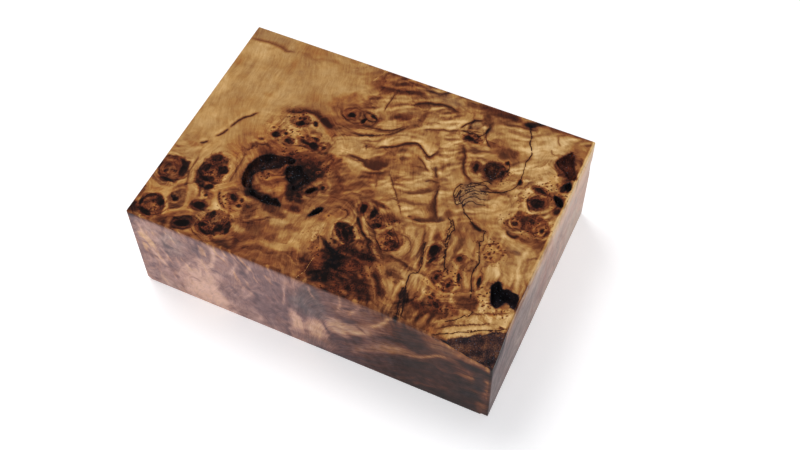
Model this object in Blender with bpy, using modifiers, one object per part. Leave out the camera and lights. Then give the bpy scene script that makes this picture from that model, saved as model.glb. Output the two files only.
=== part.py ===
"""A stabilised burl block: one sawn and polished block of burl wood, with one waney corner and natural voids.

The frame is +Z up, in metres. The origin is the centre of the underside. +X runs along the block's length,
and -Y is the long face nearest the viewer. Outlines on the top face are in millimetres from that origin.
"""

import math

import bmesh
import bpy
from mathutils import Vector, noise

MM = 0.001

# The sawn block
LENGTH = 127.0 * MM
WIDTH = 88.6 * MM
HEIGHT = 40.5 * MM
EDGE_RADIUS = 0.5 * MM
EDGE_SEGMENTS = 2

# The waney corner, at +X -Y, where the top rolls off towards the old outside of the tree
WANE_ALONG_LENGTH = 36.5 * MM
WANE_ALONG_WIDTH = 20.3 * MM
WANE_DROP = 4.0 * MM
WANE_CURVE = 0.85
WANE_STRIPS = 8

# Bark on the waney corner: a steeper, rough patch below the clean wood
BARK_ALONG_LENGTH = 16.5 * MM
BARK_ALONG_WIDTH = 10.3 * MM
BARK_DROP = 3.8 * MM
BARK_STEP = 0.35 * MM
BARK_BUMP = 0.9 * MM
BARK_BUMP_SIZE = 3.2 * MM
BARK_CUTTER_SPAN = 1.4
BARK_CUTTER_BREADTH = 12.0 * MM
BARK_CUTTER_GRID = (17, 14)
BARK_RIM_WANDER = 1.2 * MM
BARK_RIM_WAVES = 5.0

# How every pit is cut
RIM_CLEARANCE = 3.0 * MM
POINTS_PER_SPAN = 3
FLOOR_BUMP = 0.35 * MM
FLOOR_BUMP_SIZE = 2.6 * MM

# Voids in the top face: outline in millimetres, depth and how far the wall leans in, both in millimetres
VOIDS = {
    "crescent_void": (
        [
            (-23.4, -4.1), (-28.2, -4.2), (-32.7, -5.4), (-35.2, -7.9), (-36.5, -12.3), (-35.9, -16.7),
            (-34.3, -20.0), (-31.5, -19.8), (-32.8, -17.3), (-33.0, -15.0), (-31.9, -12.5), (-29.6, -10.7),
            (-26.1, -8.2), (-23.5, -6.2),
        ],
        2.4,
        0.7,
    ),
    "island_void": (
        [
            (-24.4, -7.4), (-20.7, -5.4), (-17.4, -7.9), (-15.3, -10.0), (-16.6, -12.4), (-18.7, -14.8),
            (-19.9, -13.3), (-21.9, -11.6), (-23.9, -9.8),
        ],
        1.7,
        0.8,
    ),
    "lower_crescent_void": (
        [
            (-31.0, -21.0), (-28.8, -20.9), (-26.5, -21.3), (-24.0, -20.5), (-21.5, -20.9), (-19.4, -22.0),
            (-21.5, -22.9), (-24.8, -23.3), (-28.2, -22.9), (-30.3, -22.3),
        ],
        1.4,
        0.5,
    ),
    "deep_void": (
        [
            (54.2, -20.3), (55.2, -19.6), (56.0, -20.7), (57.1, -21.8), (58.5, -21.1), (60.0, -21.6),
            (61.6, -21.6), (62.7, -22.8), (62.9, -24.5), (62.6, -26.3), (61.4, -26.2), (60.2, -25.5),
            (59.3, -25.8), (58.5, -27.3), (57.3, -28.5), (55.9, -27.9), (54.9, -26.3), (54.1, -24.0),
            (53.5, -22.0),
        ],
        4.2,
        0.9,
    ),
    "bark_pocket": (
        [
            (57.9, 36.8), (59.1, 35.4), (60.0, 33.0), (61.0, 30.6), (61.7, 28.7), (62.6, 28.3), (62.5, 26.9),
            (61.0, 25.9), (59.4, 27.0), (58.0, 28.3), (56.5, 28.9), (55.2, 30.0), (54.6, 31.2), (55.4, 33.0),
            (56.8, 35.1),
        ],
        2.0,
        1.1,
    ),
    "rim_pit": (
        [(58.9, 17.9), (60.3, 17.7), (61.9, 16.7), (62.9, 15.0), (61.9, 14.4), (60.4, 15.3), (59.3, 16.6)],
        2.0,
        0.5,
    ),
    "small_rim_pit": (
        [(60.6, 23.2), (61.4, 24.6), (62.4, 23.8), (62.9, 22.2), (62.0, 21.3), (61.1, 21.9)],
        1.5,
        0.4,
    ),
    "leaf_pit": (
        [(-6.5, -17.7), (-6.9, -19.5), (-8.2, -21.0), (-9.3, -21.7), (-9.0, -19.8), (-8.2, -18.2), (-7.2, -17.4)],
        1.8,
        0.4,
    ),
    "knot_pit": (
        [(-12.1, -11.5), (-12.6, -13.2), (-13.6, -14.1), (-14.6, -13.8), (-14.1, -12.5), (-13.3, -11.6)],
        1.2,
        0.4,
    ),
    "round_knot_pit": (
        [(34.6, 19.6), (36.3, 21.3), (38.4, 21.2), (39.7, 19.3), (39.6, 17.2), (38.2, 15.7), (36.2, 16.1), (34.9, 17.8)],
        0.9,
        0.8,
    ),
}

# Chips on the arrises: centre and half sizes in millimetres, each centred a little outside the wood
CHIPS = [
    ((63.9, 43.9, 28.0), (0.9, 1.2, 4.0)),
    ((-64.0, -44.8, 0.0), (2.0, 1.4, 1.5)),
    ((62.6, -44.9, -0.3), (2.6, 1.4, 1.1)),
    ((-1.8, -44.9, 40.9), (2.4, 1.0, 1.0)),
    ((-47.0, -44.9, 40.9), (1.4, 0.9, 0.8)),
    ((63.9, 9.0, 40.9), (0.9, 2.2, 0.9)),
    ((-63.9, 21.0, 40.9), (0.8, 1.8, 0.8)),
]
CHIP_SUBDIVISIONS = 2
CHIP_ROUGHNESS = 0.25


def clear_scene():
    for obj in list(bpy.data.objects):
        bpy.data.objects.remove(obj, do_unlink=True)


def new_collection(name):
    collection = bpy.data.collections.new(name)
    bpy.context.scene.collection.children.link(collection)
    return collection


def corner_share(x, y, along_length, along_width):
    """0 on the line that cuts the waney corner off at these two lengths, and 1 at the corner itself."""
    return (x - LENGTH / 2) / along_length + (-WIDTH / 2 - y) / along_width + 1.0


def top_height(x, y):
    share = corner_share(x, y, WANE_ALONG_LENGTH, WANE_ALONG_WIDTH)
    return HEIGHT - WANE_DROP * min(max(share, 0.0), 1.0) ** WANE_CURVE


def sawn_block():
    """A box whose top is split along the wane's contours, so that the corner can fall in a smooth curve."""
    bm = bmesh.new()
    bmesh.ops.create_cube(bm, size=1.0)
    bmesh.ops.scale(bm, vec=(LENGTH, WIDTH, HEIGHT), verts=bm.verts)
    bmesh.ops.translate(bm, vec=(0.0, 0.0, HEIGHT / 2), verts=bm.verts)
    across = Vector((1.0 / WANE_ALONG_LENGTH, -1.0 / WANE_ALONG_WIDTH, 0.0))
    corner = Vector((LENGTH / 2, -WIDTH / 2, 0.0))
    for strip in range(WANE_STRIPS):
        share = strip / WANE_STRIPS
        on_contour = corner - across * ((1.0 - share) / across.length_squared)
        geometry = bm.verts[:] + bm.edges[:] + bm.faces[:]
        bmesh.ops.bisect_plane(bm, geom=geometry, dist=1e-7, plane_co=on_contour, plane_no=across)
    for vertex in bm.verts:
        if vertex.co.z > HEIGHT / 2:
            vertex.co.z = top_height(vertex.co.x, vertex.co.y)
    mesh = bpy.data.meshes.new("burl_block")
    bm.to_mesh(mesh)
    bm.free()
    return bpy.data.objects.new("burl_block", mesh)


def ease_edges(block):
    bevel = block.modifiers.new("eased_edges", "BEVEL")
    bevel.width = EDGE_RADIUS
    bevel.segments = EDGE_SEGMENTS
    bevel.limit_method = "ANGLE"
    bevel.angle_limit = math.radians(40.0)


def outline_solid(name, outline):
    """A straight-sided solid on a smooth closed outline, as a mesh object."""
    curve = bpy.data.curves.new(name, "CURVE")
    curve.dimensions = "2D"
    curve.fill_mode = "BOTH"
    curve.resolution_u = POINTS_PER_SPAN
    curve.extrude = 1.0 * MM
    spline = curve.splines.new("BEZIER")
    spline.bezier_points.add(len(outline) - 1)
    for point, (x, y) in zip(spline.bezier_points, outline):
        point.co = (x * MM, y * MM, 0.0)
        point.handle_left_type = point.handle_right_type = "AUTO"
    spline.use_cyclic_u = True
    drawn = bpy.data.objects.new(name + "_outline", curve)
    bpy.context.scene.collection.objects.link(drawn)
    evaluated = drawn.evaluated_get(bpy.context.evaluated_depsgraph_get())
    mesh = bpy.data.meshes.new_from_object(evaluated)
    bpy.data.objects.remove(drawn)
    return bpy.data.objects.new(name, mesh)


def floor_bump(x, y):
    """A repeatable unevenness of a pit's floor."""
    return FLOOR_BUMP * noise.noise(Vector((x, y, 0.0)) / FLOOR_BUMP_SIZE)


def pit_cutter(name, outline, depth, lean):
    """A cutter that stands clear of the top face and ends in an uneven floor, drawn in from its rim."""
    cutter = outline_solid(name, outline)
    bm = bmesh.new()
    bm.from_mesh(cutter.data)
    bmesh.ops.remove_doubles(bm, verts=bm.verts, dist=0.01 * MM)
    floor = [face for face in bm.faces if face.normal.z < -0.5]
    bmesh.ops.inset_region(bm, faces=floor, thickness=lean * MM, depth=0.0, use_even_offset=True)
    floor_vertices = {vertex for face in floor for vertex in face.verts}
    for vertex in bm.verts:
        x, y, z = vertex.co
        if z > 0.0:
            vertex.co.z = HEIGHT + RIM_CLEARANCE
        elif vertex in floor_vertices:
            vertex.co.z = top_height(x, y) - depth * MM + floor_bump(x, y)
        else:
            vertex.co.z = top_height(x, y) - 0.55 * depth * MM
    bmesh.ops.recalc_face_normals(bm, faces=bm.faces)
    bm.to_mesh(cutter.data)
    bm.free()
    return cutter


def bark_height(x, y):
    """The bark leaves the clean wood at a small step, then falls more steeply and unevenly to the corner."""
    share = max(corner_share(x, y, BARK_ALONG_LENGTH, BARK_ALONG_WIDTH), 0.0)
    at = Vector((x, y, 0.0)) / BARK_BUMP_SIZE
    lumps = noise.noise(at) + 0.5 * noise.noise(at * 2.1)
    return top_height(x, y) - BARK_STEP - BARK_DROP * share - BARK_BUMP * min(2.0 * share, 1.0) * (0.5 + lumps)


def bark_cutter():
    """Everything above the bark: a grid laid along its upper edge, let down onto it and closed above the block."""
    upper_left = Vector((LENGTH / 2 - BARK_ALONG_LENGTH, -WIDTH / 2, 0.0))
    upper_right = Vector((LENGTH / 2, -WIDTH / 2 + BARK_ALONG_WIDTH, 0.0))
    along = upper_right - upper_left
    down = Vector((along.y, -along.x, 0.0)).normalized()
    bm = bmesh.new()
    columns, rows = BARK_CUTTER_GRID
    bmesh.ops.create_grid(bm, x_segments=columns, y_segments=rows, size=0.5)
    for vertex in bm.verts:
        u = 0.5 + vertex.co.x * BARK_CUTTER_SPAN
        v = 0.5 - vertex.co.y
        wander = BARK_RIM_WANDER * (1.0 - v) * noise.noise(Vector((u * BARK_RIM_WAVES, 0.0, 0.0)))
        place = upper_left + along * u + down * (v * BARK_CUTTER_BREADTH + wander)
        vertex.co = (place.x, place.y, bark_height(place.x, place.y))
    bark = list(bm.faces)
    raised = bmesh.ops.extrude_face_region(bm, geom=bark)
    for item in raised["geom"]:
        if isinstance(item, bmesh.types.BMVert):
            item.co.z = HEIGHT + RIM_CLEARANCE
    bmesh.ops.recalc_face_normals(bm, faces=bm.faces)
    mesh = bpy.data.meshes.new("bark")
    bm.to_mesh(mesh)
    bm.free()
    return bpy.data.objects.new("bark", mesh)


def chip_cutter(name, centre, half_sizes):
    """A lumpy ball that takes a shallow bite out of an edge."""
    bm = bmesh.new()
    bmesh.ops.create_icosphere(bm, subdivisions=CHIP_SUBDIVISIONS, radius=1.0)
    for vertex in bm.verts:
        unit = vertex.co.copy()
        lump = 1.0 + CHIP_ROUGHNESS * noise.noise(unit * 2.0 + Vector(centre))
        vertex.co = Vector(c + h * lump * u for c, h, u in zip(centre, half_sizes, unit)) * MM
    mesh = bpy.data.meshes.new(name)
    bm.to_mesh(mesh)
    bm.free()
    return bpy.data.objects.new(name, mesh)


def cut_away(block, cutters):
    """Cuts every object of a collection from the block."""
    for cutter in cutters.objects:
        cutter.hide_render = True
        cutter.display_type = "WIRE"
    cut = block.modifiers.new("voids_and_chips", "BOOLEAN")
    cut.operation = "DIFFERENCE"
    cut.operand_type = "COLLECTION"
    cut.collection = cutters
    cut.solver = "EXACT"


def burl_material():
    material = bpy.data.materials.new("stabilised_burl")
    material.use_nodes = True
    surface = material.node_tree.nodes["Principled BSDF"]
    surface.inputs["Base Color"].default_value = (0.26, 0.12, 0.05, 1.0)
    surface.inputs["Roughness"].default_value = 0.22
    surface.inputs["Metallic"].default_value = 0.0
    return material


def build():
    clear_scene()
    parts = new_collection("stabilised_burl_block")
    cutters = new_collection("cutters")
    block = sawn_block()
    block.data.materials.append(burl_material())
    parts.objects.link(block)
    for name, (outline, depth, lean) in VOIDS.items():
        cutters.objects.link(pit_cutter(name, outline, depth, lean))
    cutters.objects.link(bark_cutter())
    for number, (centre, half_sizes) in enumerate(CHIPS):
        cutters.objects.link(chip_cutter(f"chip_{number}", centre, half_sizes))
    ease_edges(block)
    cut_away(block, cutters)


build()
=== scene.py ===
"""The stabilised burl block's looks: a fine mesh over the CAD block, its figured wood, and a plain studio.

Everything is in millimetres until the mesh is made. The frame is the CAD's: origin at the centre of the
underside, +X along the length, -Y towards the viewer, +Z up. A tone is a brightness of the wood, from 0
(black) to 1 (cream), and a warmth goes from -1 (grey) over 0 to 1 (red-brown). The figure is painted as
shapes in the top face's plane, and runs down through the block, spreading and bending as it goes. The tone
also holds painted light and shade on the curly folds, and the sides get a pale haze, part left by sanding
and part painted reflection.
"""

import math

import bpy
import numpy as np
from mathutils import Matrix, Vector


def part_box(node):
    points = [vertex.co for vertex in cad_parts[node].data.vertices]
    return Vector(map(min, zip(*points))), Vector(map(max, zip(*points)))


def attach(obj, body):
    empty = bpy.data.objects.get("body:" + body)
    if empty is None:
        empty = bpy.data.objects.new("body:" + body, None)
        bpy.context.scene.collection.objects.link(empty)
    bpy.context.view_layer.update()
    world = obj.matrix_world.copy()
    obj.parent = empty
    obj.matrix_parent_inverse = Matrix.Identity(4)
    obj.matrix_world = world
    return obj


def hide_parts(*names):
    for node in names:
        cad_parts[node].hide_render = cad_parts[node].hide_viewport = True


MM = 0.001
NODE = "burl_block"

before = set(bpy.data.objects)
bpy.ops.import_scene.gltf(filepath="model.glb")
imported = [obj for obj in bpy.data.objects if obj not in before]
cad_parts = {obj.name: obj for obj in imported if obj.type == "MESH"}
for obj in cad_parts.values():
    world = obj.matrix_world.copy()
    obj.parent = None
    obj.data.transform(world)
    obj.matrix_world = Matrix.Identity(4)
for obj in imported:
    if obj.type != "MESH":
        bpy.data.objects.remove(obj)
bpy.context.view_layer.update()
box_low, box_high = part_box(NODE)
LENGTH = (box_high.x - box_low.x) / MM
WIDTH = (box_high.y - box_low.y) / MM
HEIGHT = (box_high.z - box_low.z) / MM

# The mesh's spacing
TOP_STEP = 0.5
SIDE_STEP = 0.84
BOTTOM_STEP = 1.6

# The block's own form, as in the CAD
EDGE_RADIUS = 0.5
WANE = (36.5, 20.3)
WANE_DROP = 4.0
WANE_CURVE = 0.85
BARK = (16.5, 10.3)
BARK_DROP = 3.8
BARK_STEP = 0.35
BARK_BUMP = 0.9
BARK_RIM_WANDER = 0.8

# Pits in the top: outline, depth, how far the wall leans in, and the floor's tone and warmth
PITS = (
    (
        (
            (-23.4, -4.1), (-26.0, -3.6), (-28.2, -4.3), (-32.7, -5.4), (-35.2, -7.9), (-36.5, -12.3),
            (-36.1, -16.7), (-34.3, -20.0), (-31.5, -19.8), (-32.8, -17.3), (-33.3, -15.0), (-31.9, -12.5),
            (-29.6, -10.7), (-26.6, -8.6), (-25.8, -6.6), (-23.9, -5.9),
        ),
        2.4, 0.7, 0.22, -0.4,
    ),
    (
        (
            (-24.6, -7.6), (-22.6, -6.3), (-20.7, -5.4), (-18.8, -7.3), (-17.2, -7.9), (-15.3, -10.0),
            (-16.8, -12.0), (-18.0, -14.8), (-19.2, -14.6), (-19.9, -13.3), (-21.9, -12.2), (-23.9, -10.2),
        ),
        1.7, 0.8, 0.15, -0.2,
    ),
    (
        (
            (-31.2, -20.9), (-29.6, -20.4), (-28.6, -21.3), (-26.5, -21.0), (-24.9, -20.2), (-23.6, -21.0),
            (-21.8, -20.3), (-20.4, -21.2), (-19.4, -22.3), (-21.5, -22.7), (-24.8, -23.3), (-28.2, -22.5),
            (-30.3, -22.4),
        ),
        1.4, 0.5, 0.15, -0.2,
    ),
    (
        (
            (54.2, -20.3), (55.2, -19.6), (56.0, -20.7), (57.1, -21.8), (58.5, -21.1), (60.0, -21.6),
            (61.6, -21.6), (62.7, -22.8), (62.9, -24.5), (62.6, -26.3), (61.4, -26.2), (60.2, -25.5),
            (59.3, -25.8), (58.5, -27.3), (57.3, -28.5), (55.9, -27.9), (54.9, -26.3), (54.1, -24.0),
            (53.5, -22.0),
        ),
        4.2, 0.9, 0.16, -0.9,
    ),
    (
        (
            (57.9, 36.8), (59.1, 35.4), (60.0, 33.0), (61.0, 30.6), (61.7, 28.7), (62.6, 28.3), (62.5, 26.9),
            (61.0, 25.9), (59.4, 27.0), (58.0, 28.3), (56.5, 28.9), (55.2, 30.0), (54.6, 31.2), (55.4, 33.0),
            (56.8, 35.1),
        ),
        2.0, 1.1, 0.24, 0.9,
    ),
    (
        ((58.9, 17.9), (60.3, 17.7), (61.9, 16.7), (62.9, 15.0), (61.9, 14.4), (60.4, 15.3), (59.3, 16.6)),
        2.0, 0.5, 0.07, -0.6,
    ),
    (
        ((60.6, 23.2), (61.4, 24.6), (62.4, 23.8), (62.9, 22.2), (62.0, 21.3), (61.1, 21.9)),
        1.5, 0.4, 0.07, -0.5,
    ),
    (
        (
            (-6.5, -17.7), (-6.9, -19.5), (-8.2, -21.0), (-9.3, -21.7),
            (-9.0, -19.8), (-8.2, -18.2), (-7.2, -17.4),
        ),
        1.8, 0.4, 0.07, -0.5,
    ),
    (
        ((-12.1, -11.5), (-12.6, -13.2), (-13.6, -14.1), (-14.6, -13.8), (-14.1, -12.5), (-13.3, -11.6)),
        1.2, 0.4, 0.12, 0.2,
    ),
    (
        (
            (34.6, 19.6), (36.3, 21.3), (38.4, 21.2), (39.7, 19.3), (39.6, 17.2), (38.2, 15.7), (36.2, 16.1),
            (34.9, 17.8),
        ),
        0.9, 0.8, 0.22, 0.2,
    ),
)

# Chips on the arrises: centre and half sizes, as in the CAD
CHIPS = (
    ((63.9, 43.9, 28.0), (0.9, 1.2, 4.0)),
    ((-64.0, -44.8, 0.0), (2.0, 1.4, 1.5)),
    ((62.6, -44.9, -0.3), (2.6, 1.4, 1.1)),
    ((-1.8, -44.9, 40.9), (2.4, 1.0, 1.0)),
    ((-47.0, -44.9, 40.9), (1.4, 0.9, 0.8)),
    ((63.9, 9.0, 40.9), (0.9, 2.2, 0.9)),
    ((-63.9, 21.0, 40.9), (0.8, 1.8, 0.8)),
)

# How the figure runs down through the block: its spread along x and y for each mm of depth, how far it has
# drifted at the full drift's depth, how large the bends are, and a fine sway on top of that
SPREAD = (0.0056, 0.0080)
DRIFT = 5.0
DRIFT_DEPTH = 14.0
DRIFT_SIZE = 16.0
SWAY = 0.35
SWAY_SIZE = 3.4

# Stains: x, y, half length, half breadth, turn in degrees, tone, warmth, softness of the edge
BROAD_STAINS = (
    (-45, 24, 34, 25, 0, 0.79, -0.3, 0.45),
    (-57, -5, 11, 14, 0, 0.77, -0.1, 0.5),
    (-47, -4, 8, 15, -20, 0.76, 0.1, 0.5),
    (-39, -2, 5, 13, -10, 0.66, 0.4, 0.5),
    (-25, -9, 12, 14, 0, 0.44, 0.8, 0.45),
    (-45, -33, 19, 13, 0, 0.59, 0.6, 0.5),
    (-12, -30, 9, 8, 0, 0.68, 0.1, 0.5),
    (-9, -39, 8, 5, 0, 0.50, 0.4, 0.5),
    (-22, -38, 8, 9, 10, 0.45, 0.5, 0.5),
    (-3, -12, 4, 10, 0, 0.52, 0.4, 0.5),
    (-7, 8, 10, 6, 0, 0.70, 0.0, 0.5),
    (-7, 28, 9, 6, 0, 0.62, 0.2, 0.5),
    (-17, 20, 8, 8, 0, 0.52, 0.5, 0.5),
    (-5, 40, 12, 4, 6, 0.50, 0.5, 0.5),
    (12, 40, 9, 4, 0, 0.52, -0.2, 0.5),
    (10, 28, 12, 9, 10, 0.63, 0.0, 0.5),
    (19, 18, 12, 17, 15, 0.79, 0.0, 0.5),
    (5, -2, 8, 8, 20, 0.50, 0.4, 0.5),
    (7, 10, 7, 4, 15, 0.56, 0.3, 0.5),
    (28, 20, 3.5, 6, 15, 0.50, 0.2, 0.5),
    (3, 26, 4, 3, 0, 0.54, 0.2, 0.5),
    (-13, 0.5, 5, 3, 0, 0.36, 0.6, 0.5),
    (16, -4, 10, 6, -30, 0.70, 0.0, 0.5),
    (28, 5, 6, 13, 15, 0.62, 0.0, 0.5),
    (24, -21, 7, 7, 0, 0.63, 0.0, 0.5),
    (38, -12, 7, 13, 10, 0.59, 0.1, 0.5),
    (28, -15, 2.4, 8, -5, 0.72, 0.0, 0.5),
    (52, -24, 5, 7, 0, 0.76, 0.1, 0.5),
    (44, -25, 3, 6, 0, 0.54, 0.3, 0.5),
    (37, 4, 8, 6, 0, 0.66, -0.1, 0.5),
    (38, 34, 12, 6, 5, 0.72, 0.0, 0.5),
    (52, 28, 9, 17, 0, 0.86, -0.1, 0.5),
    (50, 5, 9, 9, 0, 0.71, 0.1, 0.5),
    (56, -11, 9, 8, 0, 0.72, -0.1, 0.5),
    (57, -16, 6, 3, 0, 0.86, -0.1, 0.6),
    (57, -32, 10, 5, 25, 0.90, -0.1, 0.4),
    (50, -38, 9, 2.6, 28, 0.89, -0.1, 0.4),
    (38, -38, 11, 5, 10, 0.40, 0.2, 0.5),
    (28, -42, 8, 4, 0, 0.44, 0.0, 0.5),
    (22, -35, 8, 4, -55, 0.52, 0.1, 0.5),
    (10, -36.5, 12, 10, -20, 0.20, 0.5, 0.35),
)

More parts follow.
